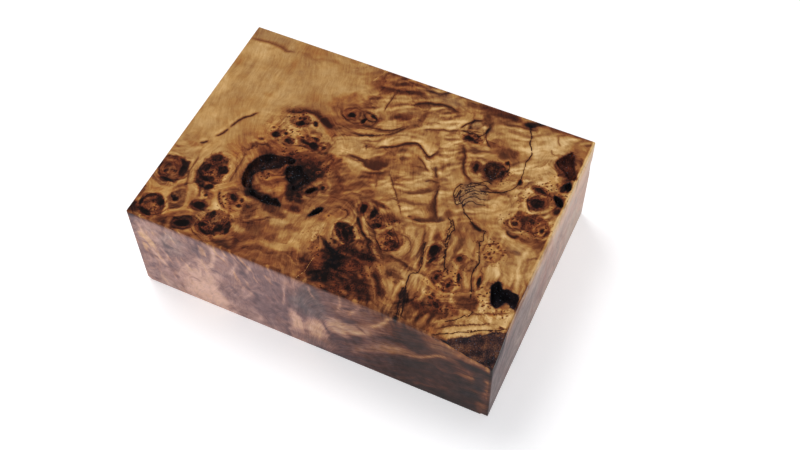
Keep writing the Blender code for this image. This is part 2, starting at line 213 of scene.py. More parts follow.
STAINS = (
    # The calm corner at the upper left
    (-57, 41.8, 7, 2.4, 0, 0.70, -0.8, 0.5),
    (-30, 22, 4.0, 2.4, 20, 0.74, 0.1, 0.7),
    (-58, 20, 3.0, 2.0, 30, 0.74, 0.0, 0.7),
    (-36, 14, 4.0, 2.2, 30, 0.72, 0.1, 0.7),
    (-46, 5, 2.4, 4.0, -20, 0.74, 0.1, 0.7),
    (-40, 42, 6, 1.6, 0, 0.66, 0.3, 0.6),
    (-43.6, 32, 1.4, 4.5, 0, 0.66, 0.2, 0.7),
    (-48.5, 11.8, 4.5, 2.2, 10, 0.70, 0.1, 0.6),
    (-55, 9, 4.5, 1.8, 40, 0.72, 0.1, 0.6),
    (-45.4, 17.4, 1.3, 0.9, 0, 0.68, 0.1, 0.6),
    (-57.6, -11.7, 2.0, 1.1, 0, 0.62, 0.5, 0.6),
    (-62, 27.5, 2.0, 2.5, 0, 0.70, 0.4, 0.6),
    (-53, 34, 7, 2.0, 5, 0.84, -0.1, 0.6),
    (-33, 34, 7, 4.0, 5, 0.80, -0.2, 0.6),
    (-61, 17, 2.5, 6.0, 0, 0.88, 0.0, 0.6),
    (-60, 33, 4.0, 4.0, 0, 0.86, -0.2, 0.6),
    (-60, 0, 3.6, 5.0, 0, 0.86, 0.0, 0.6),
    # Between the eyes at the left
    (-53.3, -21, 1.6, 6, -8, 0.76, 0.1, 0.5),
    (-44.5, -8, 3, 5, -10, 0.66, 0.4, 0.6),
    (-35, -23.5, 3, 1.6, -20, 0.48, 0.5, 0.5),
    (-38.6, -7.6, 2.0, 4.6, -12, 0.66, 0.7, 0.6),
    (-42, -9.6, 2.0, 2.6, 0, 0.60, 0.8, 0.6),
    (-51.6, -29.6, 3.4, 2.4, 0, 0.48, 0.7, 0.5),
    (-41.2, -30.2, 2.4, 1.6, 0, 0.62, 0.7, 0.5),
    (-49.4, -38.6, 2.2, 2.6, 0, 0.56, 0.8, 0.5),
    (-39.3, -19, 1.3, 6, -5, 0.62, 0.3, 0.5),
    (-48, -30, 1.5, 6, -15, 0.58, 0.3, 0.5),
    (-38.5, -33, 1.4, 4.5, -25, 0.66, 0.1, 0.5),
    (-60.5, -30.5, 3, 1.4, 0, 0.72, 0.1, 0.5),
    (-62, -42, 2.6, 2.6, 0, 0.22, 0.3, 0.5),
    (-51.5, -42.6, 2.6, 1.6, 0, 0.34, 0.4, 0.6),
    (-37.6, -31.0, 3.0, 1.2, -30, 0.84, 0.1, 0.6),
    (-40.5, -36.5, 1.6, 3, 10, 0.66, 0.0, 0.5),
    (-27, -35.6, 1.9, 1.4, 0, 0.76, -0.1, 0.5),
    (-28, -28, 3.6, 2.4, 0, 0.42, 0.3, 0.5),
    (-22.6, -33.2, 2.4, 1.8, 0, 0.42, 0.3, 0.5),
    (-29, -43, 3.2, 1.6, 0, 0.26, 0.3, 0.5),
    (-25.5, -41.5, 1.0, 3.0, 15, 0.30, 0.4, 0.5),
    # Round the large knot
    (-26.4, -14.8, 5.0, 4.4, 0, 0.48, 0.8, 0.35),
    (-22.6, -16.6, 0.9, 2.2, 15, 0.62, 0.5, 0.5),
    (-31.2, -17.0, 0.9, 1.8, 0, 0.60, 0.3, 0.5),
    (-27, -17.8, 3.0, 0.8, -10, 0.58, 0.4, 0.5),
    (-17.0, -3.4, 3.2, 2.4, 0, 0.30, 0.5, 0.6),
    (-14.2, -5.6, 2.2, 3.6, 15, 0.20, 0.0, 0.6),
    (-17.0, -8.6, 3.4, 3.8, 0, 0.14, -0.1, 0.5),
    (-16.4, -13.8, 1.8, 3.6, 10, 0.18, 0.0, 0.6),
    (-19.8, -13.2, 1.7, 4.4, 12, 0.15, 0.0, 0.5),
    (-18.4, -17.0, 1.6, 2.4, 20, 0.18, 0.1, 0.5),
    (-14.4, -5.0, 1.0, 0.7, 20, 0.48, 0.9, 0.5),
    (-12.6, -8.0, 0.8, 1.0, 0, 0.46, 0.9, 0.5),
    (-16.6, -1.0, 1.1, 0.6, 10, 0.44, 0.8, 0.5),
    (-18.6, -4.6, 1.0, 0.5, -20, 0.36, 0.7, 0.5),
    (-22.6, -17.0, 1.4, 2.4, 10, 0.56, 0.7, 0.5),
    (-27.5, -21.6, 5.6, 1.7, 0, 0.20, 0.2, 0.5),
    (-15.0, -21.6, 3.2, 1.2, 5, 0.34, 0.6, 0.5),
    (-14.8, -17.8, 1.6, 1.2, 0, 0.36, 0.5, 0.5),
    (-21.5, -24.6, 4.6, 1.4, -6, 0.36, 0.5, 0.6),
    (-5.4, -11.5, 1.7, 3.4, 10, 0.40, 0.5, 0.5),
    (-4.0, 0.4, 2.6, 2.2, 0, 0.64, 0.3, 0.6),
    (-11.6, -12.4, 1.0, 3.6, 8, 0.56, 0.4, 0.5),
    (-12.6, -15.6, 1.2, 0.8, 0, 0.66, -0.3, 0.5),
    (-28, -1.6, 7, 1.6, 8, 0.52, 0.7, 0.5),
    (-24, 8, 5, 2.2, 0, 0.60, 0.4, 0.5),
    (-18, 11.3, 2.4, 1.6, 0, 0.52, 0.8, 0.5),
    (-22, 0.6, 5, 1.2, 0, 0.56, 0.6, 0.5),
    # The middle, upwards
    (-9.5, 9.2, 4.6, 2.8, 0, 0.80, -0.1, 0.6),
    (-11.6, 31.1, 2.6, 0.9, 10, 0.42, 0.4, 0.5),
    (-18.2, 28.3, 1.3, 2.4, -8, 0.46, 0.4, 0.5),
    (-9.2, 37.4, 4.6, 2.1, 0, 0.46, 0.8, 0.5),
    (-5.0, 40.6, 3.4, 1.0, 25, 0.32, 0.5, 0.5),
    (-16.6, 39.6, 1.3, 3.2, 0, 0.60, 0.1, 0.5),
    (-16.9, 23.2, 1.6, 1.0, 0, 0.58, 0.9, 0.5),
    (1.6, 27.7, 3.0, 1.6, 25, 0.34, 0.7, 0.55),
    (-1.0, 22.0, 3.5, 0.8, 20, 0.74, 0.2, 0.5),
    (7.0, 30.0, 0.9, 2.9, -5, 0.46, 0.2, 0.5),
    (13.0, 40.3, 4.2, 2.4, 0, 0.52, -0.7, 0.5),
    (19.5, 42.0, 3.0, 1.3, 0, 0.42, 0.1, 0.5),
    (14.0, 22.5, 3.2, 3.4, 0, 0.68, 0.1, 0.7),
    (22.0, 37.5, 2.6, 2.6, 0, 0.74, 0.1, 0.6),
    (13.4, 10.5, 2.6, 4.0, 10, 0.52, 0.2, 0.55),
    (8.0, 8.0, 3.0, 2.4, 0, 0.54, 0.2, 0.55),
    # A fold's painted shadow
    (1.0, 5.8, 3.4, 1.7, 15, 0.36, 0.4, 0.6),
    (24.8, -3.0, 1.4, 1.8, 0, 0.50, -0.1, 0.6),
    (27.6, -6.6, 2.6, 1.2, 20, 0.40, 0.0, 0.5),
    (30.8, -2.8, 1.2, 1.6, 20, 0.42, 0.3, 0.5),
    (23.2, -6.6, 2.2, 1.3, 0, 0.82, -0.2, 0.5),
    (20.5, -1.6, 3.0, 0.8, 10, 0.80, 0.1, 0.5),
    (28.5, 10.5, 2.6, 5.0, 10, 0.72, 0.0, 0.6),
    # The middle, downwards
    (9.0, -8.6, 3.2, 0.9, -5, 0.30, 0.6, 0.5),
    (13.6, -12.6, 4.4, 1.9, 15, 0.38, 0.5, 0.5),
    (1.0, -14.0, 1.8, 5.0, 0, 0.48, 0.4, 0.5),
    (3.4, -18.3, 2.4, 1.0, 30, 0.66, 0.2, 0.5),
    (12.0, -18.0, 3.0, 1.6, -30, 0.56, 0.3, 0.5),
    (22.6, -11.0, 2.6, 0.8, 15, 0.46, 0.2, 0.5),
    (24.0, -27.6, 3.4, 1.3, -15, 0.80, -0.1, 0.5),
    (25.0, -30.8, 4.2, 0.8, 0, 0.44, 0.1, 0.5),
    (24.0, -34.4, 2.4, 1.8, -30, 0.64, 0.1, 0.5),
    (19.6, -25.6, 3.0, 1.8, -35, 0.40, 0.3, 0.5),
    (21.0, -31.5, 1.0, 5.2, 38, 0.62, 0.3, 0.45),
    (-12.4, -28.2, 2.0, 1.1, 0, 0.50, 0.3, 0.5),
    (-17.2, -28.0, 2.4, 1.6, 10, 0.78, -0.2, 0.5),
    (-14.0, -36.4, 4.6, 1.3, 5, 0.74, 0.1, 0.6),
    (-4.5, -24.6, 2.4, 2.2, 0, 0.74, 0.0, 0.6),
    # The dark place at the front
    (3.4, -22.0, 3.0, 1.8, -35, 0.10, -0.1, 0.5),
    (6.8, -25.0, 2.0, 1.0, -35, 0.16, 0.0, 0.5),
    (12.6, -28.2, 5.4, 0.8, -2, 0.14, 0.0, 0.5),
    (0.6, -29.2, 2.8, 0.9, -32, 0.08, -0.3, 0.5),
    (5.0, -31.2, 2.4, 1.4, 0, 0.08, -0.5, 0.5),
    (6.0, -35.4, 2.4, 4.4, 5, 0.06, -0.5, 0.5),
    (4.6, -40.4, 3.4, 2.4, 20, 0.08, -0.2, 0.5),
    (11.5, -38.6, 5.2, 1.4, -18, 0.22, 0.3, 0.5),
    (17.4, -40.6, 3.6, 1.4, -50, 0.24, 0.5, 0.5),
    (9.0, -43.2, 5.0, 1.2, 0, 0.22, 0.4, 0.5),
    (13.6, -42.4, 2.2, 0.8, -20, 0.42, 0.6, 0.6),
    (5.4, -43.6, 1.6, 0.7, 0, 0.40, 0.7, 0.6),
    (8.4, -41.0, 1.6, 0.6, -15, 0.36, 0.7, 0.6),
    (15.4, -35.4, 2.4, 0.6, -35, 0.46, 0.5, 0.6),
    (16.6, -32.2, 2.4, 0.8, -40, 0.44, 0.4, 0.6),
    (-1.4, -31.5, 0.8, 3.0, 0, 0.52, 0.6, 0.6),
    (-5.2, -31, 2.4, 4.0, 0, 0.76, 0.3, 0.5),
    (7.6, -30.0, 2.0, 0.5, 5, 0.40, 0.7, 0.6),
    (13.4, -30.4, 2.6, 0.6, 0, 0.40, 0.6, 0.6),
    # The upper right
    (30.5, 42.4, 9.0, 1.7, 0, 0.30, 0.4, 0.45),
    (27.5, 38.4, 1.6, 4.0, 25, 0.40, 0.2, 0.5),
    (41.2, 41.9, 1.5, 1.1, 20, 0.08, -0.8, 0.45),
    (43.5, 43.2, 2.8, 0.8, 15, 0.18, -0.2, 0.5),
    (53.5, 43.6, 8.5, 0.9, 3, 0.44, 0.6, 0.5),
    (38.3, 27.6, 5.4, 2.4, 3, 0.46, 0.4, 0.5),
    (38.0, 25.8, 1.8, 1.4, 0, 0.36, 0.2, 0.5),
    (33.0, 29.0, 1.6, 1.4, 0, 0.46, 0.6, 0.5),
    (52.0, 38.0, 4.6, 1.9, 50, 0.92, -0.3, 0.6),
    (57.0, 24.0, 2.4, 3.0, 0, 0.86, 0.3, 0.6),
    (61.8, 33.5, 1.6, 3.4, 0, 0.52, 0.6, 0.5),
    (60.0, 39.0, 3.0, 2.4, 0, 0.66, 0.3, 0.5),
    (46.6, 18.4, 0.9, 1.2, 0, 0.36, 0.3, 0.5),
    (43.0, 15.0, 2.0, 3.0, 0, 0.74, 0.1, 0.6),
    (35.0, 23.2, 2.4, 1.2, 0, 0.66, 0.1, 0.6),
    (36.0, 32.4, 3.4, 1.8, 5, 0.80, 0.1, 0.6),
    (33.4, 14.6, 2.4, 1.2, -20, 0.74, 0.1, 0.6),
    (54.0, 17.8, 2.6, 0.8, -5, 0.28, 0.7, 0.4),
    (43.5, 6.6, 2.4, 2.0, 0, 0.84, 0.0, 0.6),
    (34.4, 7.6, 4.2, 4.6, 0, 0.64, -0.8, 0.6),
    (47.0, 2.8, 1.0, 3.6, -10, 0.84, 0.0, 0.6),
    (61.0, 12.4, 2.4, 1.5, 0, 0.42, 0.8, 0.5),
    (57.0, 4.6, 4.4, 3.0, -12, 0.36, 1.0, 0.3),
    (61.6, -1.2, 2.4, 2.8, 0, 0.36, 0.5, 0.6),
    (56.2, -1.8, 4.8, 1.6, 0, 0.50, 0.3, 0.5),
    (41.0, -3.9, 2.6, 0.7, -22, 0.30, 0.2, 0.5),
    (31.6, -12.4, 1.4, 2.0, 0, 0.34, 0.6, 0.5),
    (36.4, -8.4, 2.4, 1.2, 0, 0.50, 0.3, 0.5),
    (39.6, -10.6, 1.4, 2.2, 20, 0.48, 0.1, 0.5),
    (55.4, -7.6, 1.4, 0.8, 0, 0.46, -0.6, 0.5),
    # The lower right
    (39.0, -27.0, 5.0, 3.8, 0, 0.58, 0.8, 0.5),
    (43.4, -14.0, 0.9, 0.8, 0, 0.46, 0.3, 0.5),
    (45.2, -17.6, 0.9, 1.5, 0, 0.46, 0.1, 0.5),
    (33.0, -22.6, 0.8, 1.6, -15, 0.34, 0.8, 0.5),
    (48.4, -30.6, 2.8, 2.4, 0, 0.36, 0.2, 0.5),
    (51.2, -30.0, 1.4, 2.6, 20, 0.36, 0.2, 0.5),
    (45.6, -34.2, 2.6, 0.7, -25, 0.42, 0.8, 0.5),
    (37.6, -37.6, 5.6, 1.3, 0, 0.30, 0.3, 0.5),
    (42.4, -43.0, 1.6, 0.9, 0, 0.60, 0.8, 0.5),
    (30.6, -37.6, 1.0, 4.6, 8, 0.34, -0.2, 0.5),
    (59.6, -28.0, 1.6, 1.2, 20, 0.62, 0.8, 0.5),
    (57.0, -31.0, 1.4, 0.6, 0, 0.66, 0.7, 0.5),
    (52.4, -39.4, 4.2, 1.7, 30, 0.94, -0.1, 0.5),
    (43.4, -20.0, 1.0, 3.4, 8, 0.44, 0.1, 0.5),
    (26.6, -23.0, 1.2, 2.4, 0, 0.50, 0.2, 0.5),
)

# Folds and dark veins: reach to the left and right of the line's direction, tone, warmth, strength, points.
# Some are a fold's painted shade or painted pale highlight; the strongest also get a crisp painted-shade
# edge.
FOLDS = (
    (
        0.8, 0.8, 0.48, 0.2, 0.8,
        ((-64, 37.8), (-59, 38.5), (-54, 39), (-50, 38.3), (-48.5, 37.6), (-45, 38.9)),
    ),
    (1.0, 1.3, 0.56, 0.3, 0.7, ((-46, 39), (-41.5, 39.4), (-38, 38.4), (-35, 39.8), (-31, 40.4), (-27, 40))),
    (1.6, 0.8, 0.66, 0.0, 0.5, ((-63.5, 29.6), (-57, 29), (-52, 29.2), (-48, 30), (-41, 30))),
    (0.8, 0.8, 0.68, 0.0, 0.5, ((-60, 25.5), (-56, 27), (-50, 27.5))),
    (0.9, 0.9, 0.64, 0.3, 0.5, ((-44, 28), (-43.6, 24), (-44.5, 17), (-44, 10.5))),
    (
        1.6, 0.9, 0.30, 0.7, 0.9,
        ((-37, 13.6), (-33, 14), (-29.5, 16.2), (-26, 16.2), (-22.5, 14.6), (-18.2, 12.8)),
    ),
    (1.2, 1.2, 0.22, 0.6, 0.8, ((-24.5, 15.6), (-21, 14), (-18.5, 13))),
    (0.5, 0.5, 0.28, 0.2, 0.9, ((-44, 9.5), (-46, 7), (-48, 4.4), (-49.4, 1.6), (-50.1, -1.2))),
    (0.5, 0.5, 0.28, 0.2, 0.9, ((-50, -1.2), (-50.8, -3.4), (-52.4, -6))),
    (0.5, 0.5, 0.32, -0.2, 0.9, ((-54, -8.6), (-54.8, -9.9), (-55.8, -10.6))),
    (0.6, 0.6, 0.34, 0.5, 0.8, ((-47.6, -25.4), (-46, -27.6), (-44.6, -30.2))),
    (
        0.35, 1.1, 0.30, 0.5, 0.95,
        (
            (-2.4, 12), (0.4, 13.4), (3.6, 15.1), (7.4, 18.2), (9.8, 19.2),
            (13, 17.5), (15.8, 15.5), (16.9, 17), (17.6, 21),
        ),
    ),
    (1.2, 0.4, 0.80, 0.5, 0.5, ((1, 11.4), (4.6, 14), (8, 16.4), (10.4, 17), (13.4, 15.4))),
    (0.3, 0.5, 0.42, 0.5, 0.85, ((12.2, 14.2), (14.4, 13.2), (16.4, 11.6), (18.4, 9.8))),
    (0.5, 0.5, 0.36, 0.2, 0.9, ((-14, 14), (-8, 14.8), (-4, 16.4), (0.4, 19.2), (2.8, 22), (4.6, 25.4))),
    (0.5, 0.5, 0.82, 0.6, 0.85, ((-14, 15.4), (-9, 16.4), (-4, 17.6), (-1, 18.6))),
    (0.4, 0.4, 0.34, 0.4, 0.9, ((-11.6, 18.6), (-7, 18.8), (-2.6, 19.6), (0.8, 21.4), (3.4, 24.2))),
    (0.5, 0.5, 0.80, 0.2, 0.8, ((-6.2, 21.8), (-2, 23.2), (1.4, 25), (3.4, 27))),
    (0.5, 1.5, 0.36, 0.6, 0.9, ((-13, 36.4), (-7.6, 37), (-4, 38), (0, 39.4), (5, 40.4))),
    (0.25, 0.25, 0.40, 0.2, 0.9, ((-6, 37), (-5.8, 33), (-6.2, 30), (-5.9, 26.6))),
    (0.7, 0.9, 0.32, 0.4, 0.9, ((1, 33.2), (4, 35.6), (8, 37.2), (12.6, 38), (15.6, 37.6), (18.6, 36.5))),
    (0.5, 0.8, 0.42, 0.3, 0.85, ((8.6, 25), (12, 26.6), (15, 28), (18, 29), (21.2, 30.3))),
    (0.5, 0.5, 0.42, 0.2, 0.7, ((15.4, 41), (16.6, 38.4), (18.6, 38.2))),
    (0.5, 0.9, 0.34, 0.3, 0.9, ((23.8, 25.8), (26, 22), (27.4, 18), (28.6, 15), (31, 13), (33.6, 11.6))),
    # A fold's painted shadow, and on the next line its painted pale highlight
    (2.6, 0.4, 0.36, 0.4, 0.85, ((-10, 5.2), (-4.6, 5), (-1, 3.5), (2.4, 3.9), (4.5, 6.6), (4.8, 9.4))),
    (0.4, 0.4, 0.84, 0.2, 0.9, ((-14, 6.4), (-9, 6.6), (-4.4, 7.4), (-2, 9))),
    (0.4, 0.4, 0.50, 0.0, 0.8, ((-12, 4.2), (-7, 4.4), (-3, 3.6))),
    (0.5, 0.9, 0.40, -0.2, 0.9, ((19.4, 13.2), (20.4, 11.2), (21.8, 8.6))),
    (0.3, 1.7, 0.42, -0.1, 0.9, ((18.2, 5.6), (19.6, 6.8), (21.2, 7.6), (23.8, 7.5))),
    (0.3, 1.8, 0.46, 0.1, 0.9, ((23, 4.6), (21.8, 2.8), (19.8, 1.2), (16.4, -0.6), (13.6, -1.2))),
    (0.6, 0.6, 0.84, 0.1, 0.85, ((23.4, 2.4), (21.2, -0.4), (17.4, -2), (13.6, -2.6))),
    (0.9, 0.9, 0.80, -0.5, 0.7, ((20.4, 6.6), (18, 4.2), (15.4, 2.4), (12, 2.2))),
    (0.3, 1.3, 0.34, 0.2, 0.95, ((23.8, 7.2), (24, 3.2), (25.4, -0.4), (27, -4), (28.3, -6.6))),
    (1.4, 0.3, 0.40, 0.0, 0.9, ((19.6, -9.7), (24.4, -8.9), (28.6, -6.8), (30.8, -4.8))),
    (0.4, 0.4, 0.88, 0.2, 0.85, ((19, -10.4), (24.6, -9.7), (29, -7.6), (31.4, -5.4))),
    (1.0, 0.3, 0.52, 0.0, 0.85, ((11, -5.2), (15, -4.6), (19, -4), (22.4, -2.8))),
    (0.5, 0.5, 0.82, 0.1, 0.8, ((12, -6), (16, -5.6), (20.4, -4.8))),
    (0.25, 0.25, 0.40, 0.2, 0.85, ((6.2, 5.2), (9.4, 1), (13, -3.5), (16, -7.4), (18, -10))),
    (0.25, 0.25, 0.46, 0.3, 0.8, ((2.6, 3.4), (4.2, 0.4), (5.6, -3.4))),
    (0.2, 0.2, 0.34, 0.0, 0.8, ((-5.6, 12.2), (-4.6, 10.4), (-3.8, 9.4))),
    (0.7, 0.7, 0.32, 0.8, 0.8, ((-12, 1.4), (-12.6, -1.4), (-13.6, -4.2))),
    (0.5, 0.5, 0.24, 0.4, 0.9, ((20.7, 30.4), (21.1, 32.4), (22.3, 34.4), (24.2, 36.2), (26.6, 37.2))),
    (0.3, 0.3, 0.80, 0.5, 0.9, ((21.4, 31), (24, 31.6), (26.6, 31.6), (28.6, 30.6))),
    (0.3, 0.3, 0.30, 0.3, 0.9, ((20.2, 30.1), (23, 30.3), (26, 30.5), (29.2, 29.6))),
    (0.3, 0.3, 0.36, 0.2, 0.85, ((29.6, 36.4), (29.2, 33.2), (29.6, 30.6), (31.4, 28.4), (33.6, 27))),
    (1.7, 1.7, 0.36, 0.6, 0.65, ((-12, -1.4), (-8.4, -3.2), (-5.8, -7), (-4.4, -12))),
    (0.9, 0.5, 0.72, 0.3, 0.8, ((0.4, -18.4), (-1.8, -20.6), (-2.6, -24), (-1.6, -27))),
    (0.4, 0.4, 0.66, 0.4, 0.8, ((2, -17.6), (5.4, -18.4), (8.4, -20.8), (10.4, -24))),
    (0.5, 0.5, 0.64, 0.2, 0.85, ((14.6, -31.6), (18.4, -34.6), (21.6, -38.4), (24, -43))),
    (0.4, 0.4, 0.40, 0.2, 0.85, ((17, -30.6), (20.4, -33.4), (23.6, -37.4), (25.6, -41))),
    (0.5, 0.5, 0.66, 0.1, 0.85, ((18.6, -29.8), (22, -32.2), (25, -36), (27, -40))),
    # Along the bark
    (0.8, 0.8, 0.90, -0.1, 0.85, ((44, -43.2), (48, -40), (53, -36.8), (58, -34), (63, -31.2))),
    (0.2, 0.2, 0.36, -0.2, 0.9, ((43, -42.4), (47.6, -39), (51.6, -36.8), (56, -34.6), (60, -32.8))),
    (0.6, 0.6, 0.80, -0.1, 0.8, ((41, -41.6), (45.6, -38), (49.4, -35.6), (54, -32.6))),
    (0.25, 0.25, 0.44, 0.1, 0.9, ((50.6, -33.8), (54.4, -32), (58.6, -29.8), (62.6, -27.8))),
    (0.5, 0.5, 0.84, 0.0, 0.8, ((54, -31), (58, -28.8), (63, -27))),
    # Beside the zone lines
    (0.5, 0.5, 0.84, 0.0, 0.85, ((29.6, -14), (30.6, -20), (31.6, -25), (30.4, -28.4), (30.4, -32))),
    (0.5, 0.5, 0.82, 0.0, 0.85, ((33.6, -4.6), (34.2, -7.6), (33.6, -10.4), (32.6, -12.8))),
    (0.45, 0.45, 0.82, 0.0, 0.8, ((45.6, -10.4), (46.8, -14.4), (47, -18.6), (48.4, -23), (50, -27.6))),
    (0.8, 0.8, 0.50, 0.0, 0.75, ((37, -8), (38, -12), (38.6, -18), (40.4, -22))),
    (0.6, 0.6, 0.76, -0.2, 0.75, ((39.6, -7.4), (41.6, -11), (43.6, -15.4), (44.6, -21))),
    (0.5, 0.5, 0.44, 0.1, 0.8, ((41.6, -19.6), (43.4, -23), (46, -27.6))),
    (0.4, 0.4, 0.80, 0.0, 0.8, ((43, -18.8), (44.8, -22.6), (47.4, -26.6))),
    # Streams between the eyes at the left
    (0.8, 0.8, 0.74, 0.2, 0.8, ((-41.2, -10), (-40.8, -16), (-40.2, -23), (-37.8, -28.4), (-33.4, -31.6))),
    (0.5, 0.5, 0.40, 0.4, 0.8, ((-39.6, -8), (-39.4, -15), (-38.8, -21.6))),
    (0.6, 0.6, 0.66, 0.3, 0.75, ((-38.2, -8), (-38, -15.4), (-37.2, -22.6))),
    (0.9, 0.9, 0.74, 0.1, 0.8, ((-51.8, -13), (-51.8, -20), (-50.2, -26.4), (-48.4, -30.6), (-47.6, -37))),
    (0.4, 0.4, 0.44, 0.3, 0.8, ((-53.2, -15), (-53.2, -20), (-52.2, -25), (-49.6, -29.6))),
    (0.5, 0.5, 0.78, 0.1, 0.8, ((-53.4, -28), (-55.4, -31), (-55, -34), (-52.8, -37.6))),
    (0.5, 0.8, 0.24, 0.3, 0.9, ((5, -14.6), (7, -18), (9.4, -20.8), (12, -22.4), (14.2, -23.4))),
    (0.5, 0.8, 0.24, 0.5, 0.9, ((12, -22.8), (13.6, -25), (15.6, -27))),
    (0.5, 0.6, 0.32, 0.3, 0.8, ((9.8, -16), (13.6, -20.4), (18, -25.4))),
    (0.4, 0.9, 0.38, 0.1, 0.85, ((19.4, -24.8), (23, -25), (27.6, -25.6))),
    (0.6, 0.6, 0.86, 0.0, 0.85, ((20.4, -14.4), (23.6, -15), (26, -17.2), (27.2, -20.4), (26.6, -23.6))),
    (0.35, 0.35, 0.48, 0.1, 0.85, ((20.2, -15.8), (22.8, -16.6), (24.8, -18.6), (25.4, -21), (24.8, -23.8))),
    (0.45, 0.45, 0.80, 0.0, 0.8, ((22.6, -17.6), (23.6, -19.4), (23.8, -21.6), (23, -23.6))),
    (0.35, 0.35, 0.46, 0.2, 0.8, ((27.2, -16), (28, -19), (27.8, -22.6))),
    (0.6, 0.5, 0.36, 0.3, 0.8, ((25.4, -9.8), (27, -13), (28.4, -18), (29.8, -23), (30.6, -27))),
    (1.3, 0.5, 0.26, 0.4, 0.85, ((18.6, -33.6), (21, -35.2), (23.6, -38))),
    (0.4, 0.9, 0.24, 0.4, 0.8, ((15.8, -35.8), (19.4, -39), (21.4, -42.2), (22.4, -45))),
    (0.8, 0.5, 0.40, 0.3, 0.8, ((32, 38.4), (36, 39.2), (40, 39.9), (44.6, 40.9))),
    (0.5, 0.5, 0.58, 0.0, 0.7, ((34, 36), (40, 36.6), (47, 37.2))),
    (0.35, 0.35, 0.52, -0.3, 0.8, ((50.8, 42), (52, 39.6), (53.8, 37.2))),
    (0.35, 0.5, 0.50, -0.3, 0.8, ((51, 35.4), (52, 33.8), (53.8, 33.4))),
    (0.4, 0.7, 0.36, 0.5, 0.8, ((52, 6), (54.6, 7), (56.6, 8.6), (59.4, 10.4))),
    (0.5, 0.4, 0.30, 0.7, 0.9, ((49.6, -1.2), (51, -2.4), (52.8, -2.6), (54.4, -1.4))),
    (0.6, 0.4, 0.52, 0.3, 0.7, ((45, -9.6), (50, -9.7), (53.4, -8.6), (56.6, -7.6))),
    (0.4, 0.4, 0.62, 0.3, 0.7, ((53.4, -31), (56, -33.4), (59, -35))),
    (0.6, 0.6, 0.40, 0.4, 0.6, ((47, -20), (48.6, -25), (51, -29.6))),
    (0.7, 0.7, 0.50, 0.5, 0.6, ((33.6, -19), (35, -24), (36, -29))),
    (0.45, 0.45, 0.20, 0.6, 0.95, ((-40.2, -25), (-38.6, -27.6), (-37, -29.2), (-34.6, -30.6))),
    # Fine curved layers in the dark place
    (0.30, 0.30, 0.50, 0.5, 0.66, ((9.6, -37), (12.8, -38.4), (15.4, -40.8), (17, -44.6))),
    (0.30, 0.30, 0.10, 0.2, 0.66, ((9, -38), (12.2, -39.4), (14.4, -41.8), (15.6, -44.8))),
    (0.30, 0.30, 0.46, 0.5, 0.66, ((8.4, -39.2), (11, -40.4), (13, -42.6), (13.8, -45))),
    (0.30, 0.30, 0.10, 0.2, 0.66, ((11, -36.4), (14.6, -38), (17.4, -40.6), (19.4, -44.4))),
    (0.30, 0.30, 0.38, 0.6, 0.66, ((6.6, -41), (9, -42), (10.6, -44.6))),
)

